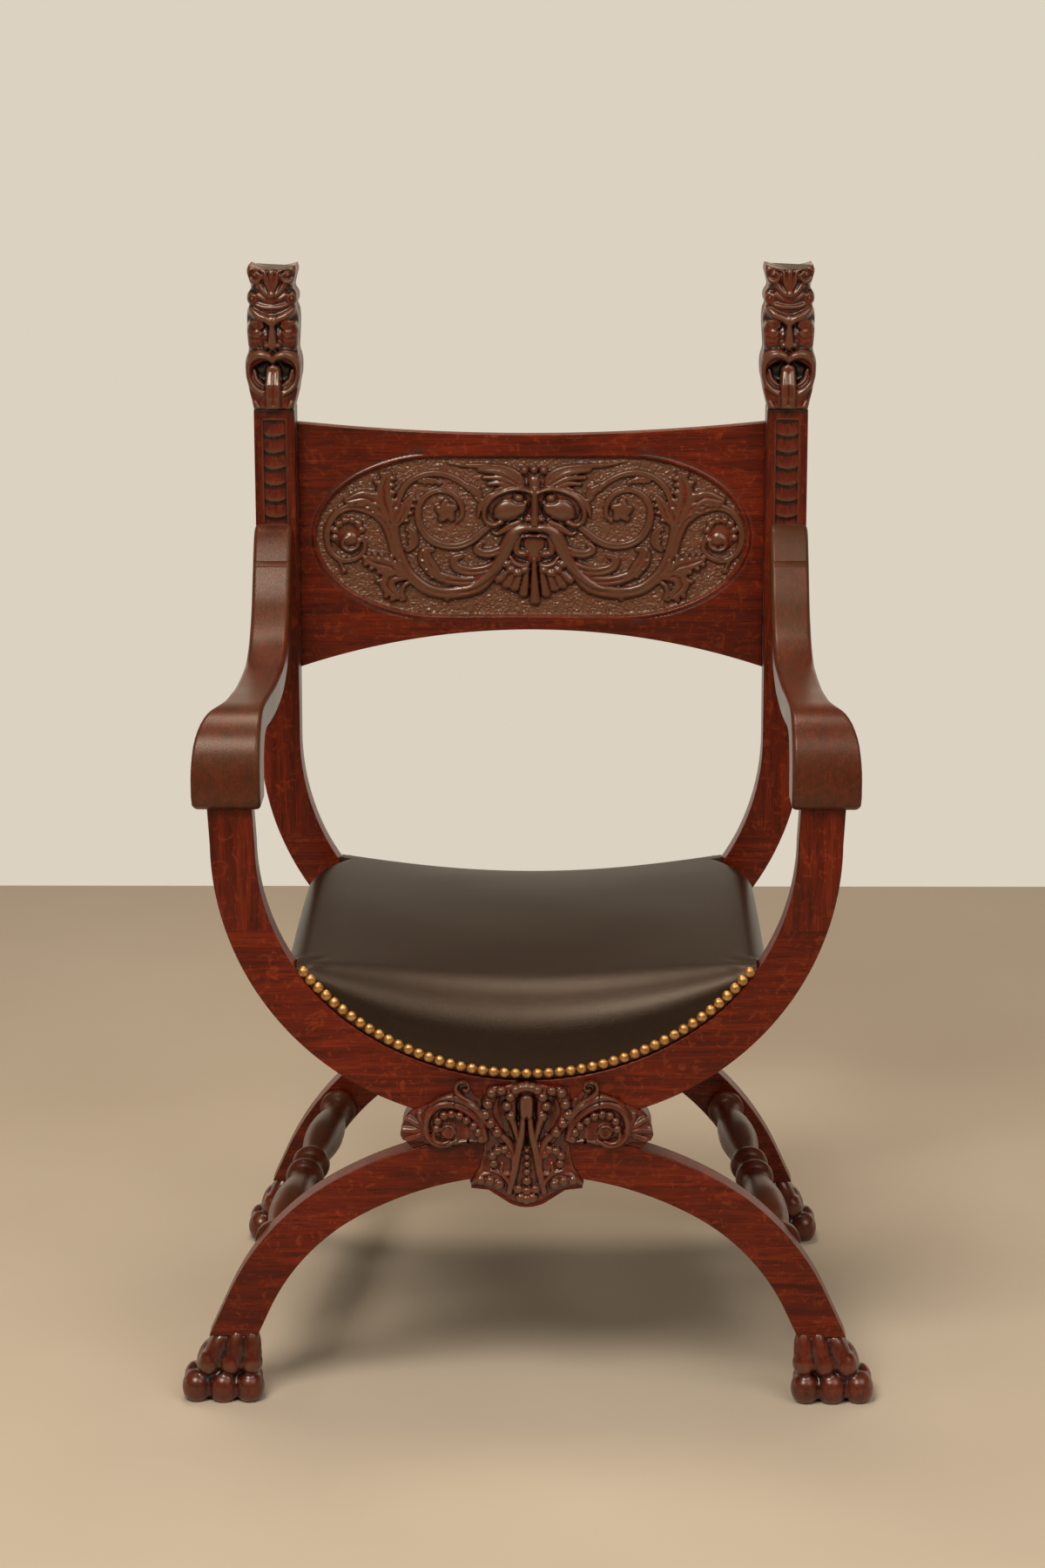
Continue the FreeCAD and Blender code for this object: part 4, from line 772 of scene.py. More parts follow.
class Relief:
    """Heights of a carving over a table of points across and up, raised stroke by stroke."""

    def __init__(self, x, z):
        self.x, self.z = x, z
        self.height = np.zeros_like(x)

    def beside(self, points, width, height=0.0):
        """The part of the table near a curve, and for each of its places the distance from the
        curve as a share of its half width there, and the curve's height there."""
        path = rounded_run(points, max(6, 4 * len(points)))
        share = np.linspace(0, 1, len(path))
        widths, heights = (np.interp(share, np.linspace(0, 1, np.size(values)), np.atleast_1d(values))
                           for values in (width, height))
        low, high = path.min(axis=0) - widths.max(), path.max(axis=0) + widths.max()
        near = (self.x > low[0]) & (self.x < high[0]) & (self.z > low[1]) & (self.z < high[1])
        x, z = self.x[near], self.z[near]
        closest, crowns = np.ones(len(x)), np.zeros(len(x))
        for index in range(len(path) - 1):
            start, run = path[index], path[index + 1] - path[index]
            along = ((x - start[0]) * run[0] + (z - start[1]) * run[1]) / max(run @ run, 1e-9)
            along = np.clip(along, 0, 1)
            off = np.hypot(x - start[0] - along * run[0], z - start[1] - along * run[1])
            out = off / (widths[index] + (widths[index + 1] - widths[index]) * along)
            nearer = out < closest
            closest[nearer] = out[nearer]
            crowns[nearer] = (heights[index] + (heights[index + 1] - heights[index]) * along)[nearer]
        return near, closest, crowns

    def stroke(self, points, width, height, groove=0.0, power=2.0):
        """A rounded strand along a curve. Width is half its breadth; both may taper. A groove is
        cut along its middle, as a share of its height."""
        near, off, crowns = self.beside(points, width, height)
        lift = crowns * np.sqrt(1 - off ** power) * (1 - groove * np.exp(-(off / 0.3) ** 2))
        self.height[near] = np.maximum(self.height[near], np.where(off < 1, lift, -99))

    def cut(self, points, width, depth):
        """A V-shaped cut along a curve, as a parting tool leaves it."""
        near, off, _ = self.beside(points, width)
        self.height[near] -= depth * (1 - off)

    def spread(self, centre, radii, turn):
        """Squared distance from a middle as a share of an ellipse's radii."""
        across, up = self.x - centre[0], self.z - centre[1]
        c, s = math.cos(math.radians(turn)), math.sin(math.radians(turn))
        return ((c * across + s * up) / radii[0]) ** 2 + ((c * up - s * across) / radii[1]) ** 2

    def mound(self, centre, radii, height, base=0.0, turn=0.0):
        """A rounded swelling, a ball or an egg, on a base height."""
        out = self.spread(centre, radii, turn)
        lift = np.where(out < 1, base + height * np.sqrt(np.maximum(1 - out, 0)), -99)
        self.height = np.maximum(self.height, lift)

    def beads(self, centres, radii, height, base=0.0):
        """A string of equal mounds."""
        for centre in centres:
            self.mound(centre, radii, height, base)

    def dip(self, centre, radii, depth, steep=0.7):
        """A hollow pressed into what is there. The lower steep is, the flatter its floor."""
        self.height -= depth * np.clip(1 - self.spread(centre, radii, 0), 0, 1) ** steep

    def leaf(self, spine, width, height, lobes, sides=(-1, 1)):
        """A leaf: a hollowed blade with a vein, edged with rounded lobes that lean to its tip."""
        blade = (width * 0.3, width * 0.5, width * 0.55, width * 0.45, width * 0.25)
        self.stroke(spine, blade, height, 0.35, 3)
        path = rounded_run(spine, 40)
        for side in sides:
            for share in np.linspace(0.16, 0.94, lobes):
                index = int(share * 38)
                ahead = path[index + 1] - path[index]
                ahead = ahead / np.linalg.norm(ahead)
                reach = width * (0.3 + 0.4 * math.sin(math.pi * min(0.25 + 0.7 * share, 1)))
                out = np.array((-ahead[1], ahead[0])) * side
                tip = path[index] + (out + ahead * 0.5) * reach * 0.85
                self.stroke((path[index] + out * reach * 0.3, tip), (width * 0.12, width * 0.21),
                            (height * 0.8, height * 1.05), 0.0)


def carve_panel(x, z):
    """The carving of the back panel: a bearded mask between two scrolls. Its left half is drawn;
    the right half mirrors it, a little unevenly as hand work is."""
    across = x - 3.5 + 0.7 * np.sin(z / 17) * np.sin(x / 29 + 0.6)
    r = Relief(-np.abs(across), z + 0.6 * np.sin(x / 23 + 1.0))
    # leaves behind the scrolls
    r.leaf(((-155, 807), (-160.4, 826.1), (-162.4, 845.4), (-157, 861.4)), 18, 5, 5)
    r.leaf(((-159.7, 813.2), (-169.8, 827.4), (-183.2, 835.6), (-201.3, 831.5)), 17, 4.8, 5, sides=(1,))
    r.leaf(((-148.3, 807), (-142.3, 817.2), (-138.2, 827.4), (-132.2, 836.9)), 13, 4.4, 4, sides=(-1,))
    r.leaf(((-141.9, 752), (-155.3, 760.8), (-169.8, 764.2), (-181.8, 768.3)), 17, 4.8, 5)
    r.leaf(((-139.6, 750), (-153, 750), (-159.7, 740.4), (-149.6, 727.5)), 17, 4.8, 5, sides=(-1,))
    r.stroke(((-132.9, 745.2), (-141.9, 739.1), (-144.3, 731.6), (-141.6, 725.5), (-144.9, 723.5)),
        (2.2, 3, 3.2, 3, 2.4), (3.5, 4.5, 4.5, 4.5, 4), 0.2)
    r.mound((-88.2, 728.2), (9, 5.5), 4.5)
    r.mound((-93.9, 726.2), (4, 6), 4)
    r.mound((-59, 735.7), (5, 7), 4.5)
    # plumes inside the main scroll
    r.stroke(((-33.6, 781.9), (-44.3, 775.1), (-55, 773.7), (-63.1, 777.8), (-59, 783.9)),
        (3, 5.4, 6, 5.2, 3.2), (5, 6, 6, 5.4, 4), 0.3)
    r.stroke(((-36.2, 770.7), (-49.7, 758.1), (-67.8, 754), (-83.2, 758.1), (-87.9, 767.6), (-79.8, 771)),
        (3, 5.2, 6.2, 6.4, 5.4, 3.4), (4, 4.6, 5, 5, 4.6, 3.6), 0.35)
    r.stroke(((-40.3, 760.5), (-61.4, 745.2), (-88.2, 744.5), (-110, 754), (-120.8, 767.6), (-118.8, 779.2),
        (-110.7, 778.5)), (3, 5, 6.2, 7, 6.4, 5, 3.4), (4, 4.4, 4.8, 5, 4.8, 4.4, 3.6), 0.35)
    r.leaf(((-100, 745.9), (-108.7, 756.8), (-115.4, 769), (-116.8, 779.9)), 12, 5.2, 4, sides=(1,))
    r.leaf(((-136.2, 778.5), (-130.2, 785.3), (-130.8, 795.5), (-136.2, 803.6)), 10, 4, 3, sides=(1,))
    # outer spiral and its flower
    r.stroke(((-149.6, 776.5), (-155, 795.5), (-162.4, 810.4), (-177.1, 820.6), (-196.6, 824.7),
        (-214, 816.6), (-223.8, 797.9), (-221.4, 777.5), (-208, 766.3), (-191.2, 769), (-182.5, 780.5),
        (-185.9, 792.1)), (6, 6.2, 6.2, 5.8, 5, 4.2, 3.8, 3.6, 3.4, 3.2, 2.8, 2.2),
        (4.6, 4.8, 4.8, 4.6, 4.4, 4.2, 4.2, 4, 4, 4, 3.8, 3.4), 0.4)
    r.mound((-201.3, 792.1), (16.5, 15.5), 3.4)
    r.mound((-198.6, 789.4), (9, 9), 5.6)
    r.beads(((-216.1, 790.7), (-215.4, 798.9), (-211.4, 805.7), (-204.7, 809.8), (-196.6, 810.4),
        (-189.9, 806.4), (-186.5, 799.6)), (4.6, 4.6), 4.0, 0.8)
    r.stroke(((-188.6, 788.7), (-191.9, 780.5), (-200.6, 777.8), (-207.3, 782.6), (-205.3, 790.1),
        (-199.3, 791.4)), (2.4, 3, 3, 2.8, 2.4, 1.8), (5, 5.8, 6, 6, 6, 5.6))
    r.mound((-199.3, 786), (3.2, 3.2), 6.4)
    r.stroke(((-214.7, 769.7), (-210, 762.9), (-206.7, 755.4)), (2.4, 2, 2.4), (3.6, 3.4, 3.6))
    r.mound((-206.3, 754.7), (3.8, 3.8), 4)
    # inner spiral and its rosette
    r.stroke(((-49, 803), (-57.7, 796.2), (-69.8, 786.7), (-84.9, 781.9), (-101.7, 783.9), (-116.1, 793.5),
        (-124.8, 809.8), (-124.8, 826.1), (-116.8, 837.6), (-103.3, 843.1), (-88.6, 839.7), (-79.2, 829.5),
        (-77.2, 816.6), (-83.2, 808.4)), (3.6, 4.4, 4.8, 4.8, 4.6, 4.4, 4.2, 4, 3.8, 3.6, 3.4, 3.2, 3, 2.4),
        (4.4, 4.6, 4.6, 4.6, 4.4, 4.4, 4.2, 4.2, 4.2, 4, 4, 4, 3.8, 3.6), 0.4)
    for turn in range(5):
        angle = math.radians(72 * turn + 20)
        centre = (-94.6, 820.6)
        tip = (centre[0] + 9 * math.cos(angle), centre[1] + 10 * math.sin(angle))
        bend = (centre[0] + 5 * math.cos(angle + 0.7), centre[1] + 5 * math.sin(angle + 0.7))
        r.stroke((centre, bend, tip), (2.6, 4.4, 4.6), (5.6, 6, 5), 0.15)
    # main scroll, out of the moustache and round
    r.stroke(((-45.6, 750), (-60.4, 737), (-78.2, 731.6), (-96.6, 730.6), (-113.4, 734.3), (-126.1, 742.5),
        (-137.6, 755.4), (-144.9, 771.7), (-149.6, 790.1), (-151, 807), (-149, 826.1), (-142.3, 844.4),
        (-128.8, 856.7), (-111.4, 861.8), (-93.9, 859.4), (-77.8, 851.2), (-66.4, 842.4), (-59.7, 833.5)),
        (6, 7.6, 7.6, 7.4, 7.2, 7, 6.8, 6.6, 6, 5.2, 4.6, 4, 3.8, 3.8, 4, 4, 3.8, 3.6, 3),
        (5, 5.4, 5.2, 5, 5, 5, 5, 4.8, 4.6, 4.4, 4.4, 4.4, 4.4, 4.4, 4.4, 4.4, 4.2, 4, 3.6), 0.3)
    r.leaf(((-76.5, 848.5), (-65.8, 845.1), (-59, 839.7), (-59.7, 831.5)), 8, 4.4, 3)
    r.leaf(((-123.5, 853.3), (-110, 853.9), (-100.7, 851.2)), 7, 3.6, 3, sides=(-1,))
    # blades and feathers over the brows
    r.stroke(((-13.4, 848.5), (-18.8, 860.1), (-33.6, 866.8), (-55, 868.9), (-76.5, 869.9), (-98.6, 874)),
        (5.5, 5, 4, 3.2, 2.4, 1), (5.4, 5.4, 5, 4.4, 3.6, 2), 0.3)
    for start, bend, tip in zip(((-15.4, 851.9), (-17.4, 848.5), (-20.1, 845.8), (-22.8, 843.7)),
            ((-33.6, 861.4), (-34.9, 856), (-34.9, 850.5), (-33.6, 845.1)), ((-59.7, 864.8), (-54.4, 856.7),
            (-49, 849.9), (-40.9, 843.1))):
        r.stroke((start, bend, tip), (2.2, 3.7, 2.8), (5.2, 6, 4.4), 0.1)
    # face
    r.mound((0, 824), (16, 26), 4.0)
    r.mound((0, 848.5), (9.5, 12), 5.2)
    r.dip((-8.1, 851.9), (5, 9), 2.5)
    r.beads(((0, 866.2), (-10.4, 865.5)), (4.9, 5.4), 6.4)
    r.mound((-26.2, 824), (24, 19), 4.6)
    r.mound((-28.9, 821.3), (15, 11.5), 4.4, base=3.2, turn=14)
    r.mound((-19.5, 824), (11, 9), 3.4, base=3.4, turn=8)
    r.cut(((-6, 830.1), (-9.4, 820), (-16.8, 812.5), (-25.5, 809.1)), 3, 2.6)
    r.cut(((-34.9, 833.5), (-41.6, 826.1), (-45, 816.6)), 2.2, 1.5)
    r.dip((-16.8, 834.2), (9, 6), 3)
    r.stroke(((-2.7, 841), (-10.7, 844.4), (-20.1, 845.1), (-30.9, 842.4), (-42.9, 836.3), (-50.3, 828.1),
        (-53.7, 818.6), (-52, 809.1), (-44.3, 805), (-36.2, 808.4)),
        (3, 3.4, 3.2, 3, 3.2, 3.2, 3, 3, 3.4, 3.8), (7.6, 8.2, 7.8, 7.2, 6.6, 6.2, 6, 6, 6, 6.2))
    r.stroke(((-33.6, 842.4), (-47, 836.9), (-57, 826.1), (-60.4, 813.2)), (2, 4, 3.6, 1.6),
        (4.6, 5, 4.6, 3.4), 0.2)
    r.mound((-17.1, 834.9), (5.6, 5), 5.2, base=1.2)
    r.stroke(((0, 845.1), (0, 833.5), (0, 821.3), (0, 808.4)), (3.8, 3.8, 4.2, 5.4), (7.8, 8, 8.8, 9.6))
    r.mound((-7.4, 812.5), (4.8, 4.2), 7.2)
    r.stroke(((-16.8, 809.1), (-28.2, 803), (-39.6, 795.5), (-45, 797.5)), (3.4, 4.4, 3.4, 2),
        (6.2, 6, 5, 4), 0.15)
    # mouth, between the sides of the moustache
    r.stroke(((-13.4, 792.1), (-7.4, 794.5), (0, 793.5)), (1.8, 2.4, 2.4), (5, 5.6, 5.6))
    r.stroke(((0.7, 802.3), (-11.4, 802.3), (-21.5, 796.8), (-27.5, 786.7), (-32.9, 775.1), (-39.6, 761.5),
        (-49.7, 749.3), (-63.1, 739.1), (-73.8, 735)), (5, 7.2, 8.4, 8.4, 8.2, 7.6, 7, 6, 4),
        (7.2, 7.8, 7.8, 7.4, 7, 6.6, 6.2, 5.8, 5.2), power=1.5)
    r.cut(((0, 798.2), (-8.1, 797.9), (-15.4, 794.8)), 1.6, 2)
    r.cut(((-14.1, 790.4), (-7.4, 790.1), (0, 790.7)), 2, 3.2)
    # beard
    r.mound((0, 779.9), (15, 17), 3.4)
    r.stroke(((-15.4, 791.4), (-19.5, 783.3), (-18.1, 775.8), (-12.7, 773.7)), (2.6, 4.4, 4.8, 4.4),
        (4.4, 5.6, 6, 6), power=1.6)
    r.mound((-11.4, 774.4), (5.2, 5), 6.8)
    r.cut(((-13.4, 788.7), (-11.4, 781.2), (-8.7, 778.5)), 1.8, 2)
    for tip, w in zip(((-38.2, 745.2), (-30.2, 739.8), (-21.5, 737), (-12.1, 730.9), (0, 723.5)),
            (5.4, 5.4, 5.4, 5.6, 6.2)):
        start = (tip[0] * 0.5 - 1, 761.5)
        r.stroke((start, (tip[0] * 0.8, (start[1] + tip[1]) / 2), tip), (2.4, w * 0.8, w), (4.6, 5.2, 5.4))
    r.beads(((-30.2, 762.9), (-25.5, 756.8), (-18.1, 753.4), (-10.7, 756.8)), (6.4, 5.8), 7.2)
    r.stroke(((-25.5, 770.3), (-21.5, 764.2), (-14.1, 761.5), (-7.4, 762.9)), (2.4, 4, 4, 2.4),
        (5.6, 6.8, 6.8, 5.6), power=1.6)
    r.stroke(((0, 769), (0, 755.4)), (2, 3), (4.6, 5.4))
    return r.height


CREST_TOP = ((-124.6, 281.6), (-123.1, 291.1), (-119, 299.3), (-111.2, 306.8), (-100.1, 311.9),
             (-88.6, 319.3), (-78.7, 323.6), (-71.5, 326.8), (-70.4, 335), (-63.9, 338.2), (-57, 335.8),
             (-53.3, 324.8), (-46.2, 318.9), (-42.5, 329.1), (-36, 332.3), (-20.2, 333), (-12.8, 336.2),
             (0, 338.2))
CREST_BOTTOM = ((-124.6, 281.3), (-122, 275.8), (-113.1, 274.6), (-101.6, 273.8), (-94.9, 269.5),
                (-81.5, 267.9), (-68.5, 269.1), (-58.9, 267.9), (-57.4, 250.3), (-55.9, 230.2),
                (-42.5, 229.1), (-31.4, 224.7), (-21.2, 218.1), (-12.8, 212.6), (0, 210.2))
# the crest's own edge where it lies on the boards, from the curl round under the wing to the fan
CREST_EDGE = ((-126.1, 281.6), (-122, 295.4), (-119, 302), (-110.1, 308.7), (-98.2, 313.8), (-87.8, 319.7),
              (-77.8, 323.6), (-71.1, 325.6), (-71.5, 332.7), (-68.2, 337.8), (-61.8, 338.9),
              (-55.9, 336.2), (-53.7, 328.7), (-50, 320.9), (-44, 316.6), (-42.9, 322.8), (-42.5, 330.7),
              (-36, 333), (-24, 332.7), (-14.7, 335.8), (0, 340.5), (0, 207.1), (-14.7, 211),
              (-31.4, 222.8), (-55.9, 229.8), (-51.4, 240.1), (-46.2, 247.9), (-43.3, 258.1),
              (-41.6, 265.9), (-41.6, 272.6), (-50, 274.2), (-61.1, 274.2), (-70.4, 271.4), (-81.5, 268.3),
              (-94.1, 269.9), (-101.2, 273.4), (-113.1, 273.8), (-123.5, 275.8))


def carve_crest(x, z):
    """The carving of the crest: beaded straps round a tapered bar, over a fan, between two
    scrolled wings."""
    across = x + 0.5 * np.sin(z / 15) * np.sin(x / 21 + 0.4)
    r = Relief(-np.abs(across), z)
    r.height[:] = 2.2
    # wing: its lobed end, its belly, the band round it and the leaf above
    r.mound((-107.5, 287.5), (17, 16), 4.4)
    for tip, bend in zip(((-104.5, 303.6), (-114.9, 297.7), (-120.9, 287.1), (-116.8, 277.7)),
            ((-103.1, 296.2), (-108.6, 293.4), (-112, 286.7), (-108.6, 280.9))):
        r.stroke(((-96.4, 286.4), bend, tip), (3, 4.6, 4.2), (5.6, 7.4, 6.2), 0.0)
    r.mound((-111.6, 286.4), (4, 5), 7)
    r.mound((-68.5, 287.5), (30, 15), 4.6)
    r.stroke(((-41, 277.7), (-44.4, 291.5), (-54, 303.2), (-66.7, 311.5), (-81.5, 313.4), (-93, 307.5),
        (-99, 295.4), (-98.2, 281.6), (-89.7, 272.6), (-78.9, 271.4), (-69.3, 276.2)),
        (4.4, 4.6, 4.8, 5, 5.2, 5.2, 5, 4.6, 4.2, 3.8, 2.6),
        (6.6, 7, 7.4, 7.6, 7.8, 7.8, 7.6, 7.2, 7, 6.8, 5.6))
    r.stroke(((-91.6, 284.8), (-90.8, 276.9), (-83.8, 273.8), (-76.7, 275.8)), (2.4, 2.8, 2.8, 2),
        (6.8, 7.8, 7.8, 7))
    r.mound((-77.1, 284.8), (9.4, 9), 8)
    r.dip((-77.1, 284.8), (4, 4), 1.6)
    r.stroke(((-70, 284.8), (-73.7, 291.1), (-80.4, 291.5), (-84.5, 287.1)), (2.4, 2.4, 2.2, 1.8),
        (7.4, 8.2, 8, 7.4))
    r.beads(((-88.6, 288.3), (-87.1, 296.2), (-81.2, 302), (-73.7, 303.6), (-66.3, 301.7), (-59.2, 296.9),
        (-52.6, 291.1), (-47.7, 284.4), (-44.4, 277.7)), (4.6, 4.6), 4.6, 3.6)
    r.stroke(((-87.1, 271.1), (-68.5, 273.8), (-53.7, 275.4), (-41.8, 273)), (2, 2.6, 2.6, 2),
        (4.6, 5, 5, 4.6))
    r.stroke(((-41, 295.4), (-50, 308.7), (-61.1, 316.6), (-74.1, 320.9), (-85.2, 319.3), (-94.1, 313)),
        (3, 4.6, 5.2, 5, 4.2, 2.6), (8, 8.8, 9, 8.6, 7.6, 5.6))
    r.stroke(((-41, 301.3), (-48.1, 309.9), (-56.3, 314.6), (-64.8, 316.6)), (1.6, 2, 2, 1.4),
        (8.6, 9.8, 9.8, 9))
    r.stroke(((-46.2, 308.7), (-54.8, 315.8), (-64.1, 321.7), (-69.6, 327.9), (-68.2, 335), (-61.8, 337.4),
        (-56.6, 333.8), (-57.8, 328.3), (-61.8, 328.7)), (2.2, 3, 3.4, 3.4, 3.4, 3.2, 3, 2.4, 1.8),
        (7.6, 8.4, 8.4, 8.2, 8, 7.8, 7.8, 7.4, 7))
    # straps
    r.mound((-24, 307.2), (20, 28), 3.8)
    r.stroke(((0, 327.6), (-9.8, 326.4), (-14.3, 317), (-14.3, 303.2)), (4.4, 4.8, 4.8, 4.4),
        (6.6, 6.8, 6.8, 6.6), 0.0, 6)
    r.stroke(((-14.7, 328.7), (-31.4, 326.8), (-37.7, 313.8), (-38.8, 303.2), (-33.2, 291.5), (-24, 277.7)),
        (6.4, 6.6, 6.2, 6, 6, 4.6), (5.6, 5.8, 5.8, 5.8, 5.8, 5.4), 0.0, 6)
    r.dip((-24, 313), (5, 12), 2.2)
    r.dip((-20.2, 291.5), (4, 12), 1.6)
    r.beads(((-34.4, 325.6), (-38.4, 313.8), (-40.7, 303.2), (-35.8, 294.2), (-29.2, 284.8),
        (-24.7, 328.3)), (5.4, 5.4), 5.6, 4.4)
    r.beads(((0, 332.3), (-10.6, 329.1), (-15.8, 321.7), (-19.5, 312.3), (-15.8, 301.7), (-5.4, 331.5)),
        (5.4, 5.2), 5.6, 5)
    r.stroke(((-15.8, 301.3), (-12.4, 292.6), (-9.8, 282.4), (-8.7, 273.8)), (4.6, 4.4, 3.6, 2.4),
        (9.6, 9, 8, 6.8))
    # bar, and the two strips that part below it
    r.dip((0, 311.1), (12, 16), 1.6)
    r.stroke(((0, 318.1), (0, 305.2)), (7.4, 7), (11, 11), 0.0, 8)
    r.mound((0, 250.3), (12, 40), 4.4)
    r.stroke(((-2.4, 304.4), (-4.6, 285.6), (-8.7, 265.9), (-12.1, 246.3), (-17.3, 222.8)),
        (4.2, 4.6, 5, 5, 3.8), (10, 9.8, 9.4, 8.6, 7), 0.12)
    r.cut(((0, 301.3), (0, 281.6), (0, 267.9)), 2.4, 3.4)
    # fan: a leaf at each side, beads down the middle and along its hem
    r.stroke(((-25.8, 282.4), (-17.3, 273.8), (-12.8, 260.1), (-13.2, 242.4), (-16.5, 224.7)),
        (4, 4.4, 4.4, 4, 3), (7.4, 8, 8, 7.4, 6.2))
    r.mound((-31.4, 242.4), (22, 20), 4.6)
    r.mound((-22.5, 252.2), (12, 18), 5.2)
    for spot, size in zip(((0, 266.7), (0, 259.7), (0, 252.2), (0, 244), (0, 234.6)),
            (3, 3.4, 3.8, 4.2, 5)):
        r.mound(spot, (size, size * 0.92), 4, 4.6)
    r.beads(((-8.4, 225.9), (0, 224), (-6.1, 216.9), (0, 215.3)), (5.2, 4.8), 4.2, 4)
    r.stroke(((-14.7, 244.4), (-19.5, 241.6), (-25.1, 244.8), (-24, 252.6)), (3, 3.2, 3.2, 2.6),
        (7, 7.4, 7.4, 7))
    r.beads(((-32.1, 252.6), (-33.2, 260.5), (-28.4, 265.6), (-21.7, 267.1), (-17.3, 262.4)), (4.8, 4.8),
        4.6, 4)
    r.stroke(((-34.7, 245.5), (-25.1, 242), (-18, 233.8), (-15.8, 224.7)), (2.8, 3.6, 3.4, 2.4),
        (6.8, 7.4, 7.2, 6))
    r.beads(((-45.5, 235.3), (-36.2, 234.6), (-27.3, 231)), (5.2, 5), 4.6, 3.8)
    r.stroke(((-53.7, 231.8), (-44.4, 240.1), (-34.7, 242.4)), (2.6, 3.4, 2.6), (5.4, 6, 5.6))
    # outside its edge the plate lies under the faces of the boards
    edge = np.array(CREST_EDGE)
    within = np.zeros(x.shape, bool)
    for one, other in zip(edge, np.roll(edge, -1, axis=0)):
        spans = (one[1] > r.z) != (other[1] > r.z)
        reach = (other[0] - one[0]) * (r.z - one[1]) / (other[1] - one[1] + 1e-12) + one[0]
        within ^= spans & (r.x < reach)
    on_boards = (r.x > -72) | (r.z > 270) & (r.x > -110)
    return np.where(within | ~on_boards, r.height, -0.5)


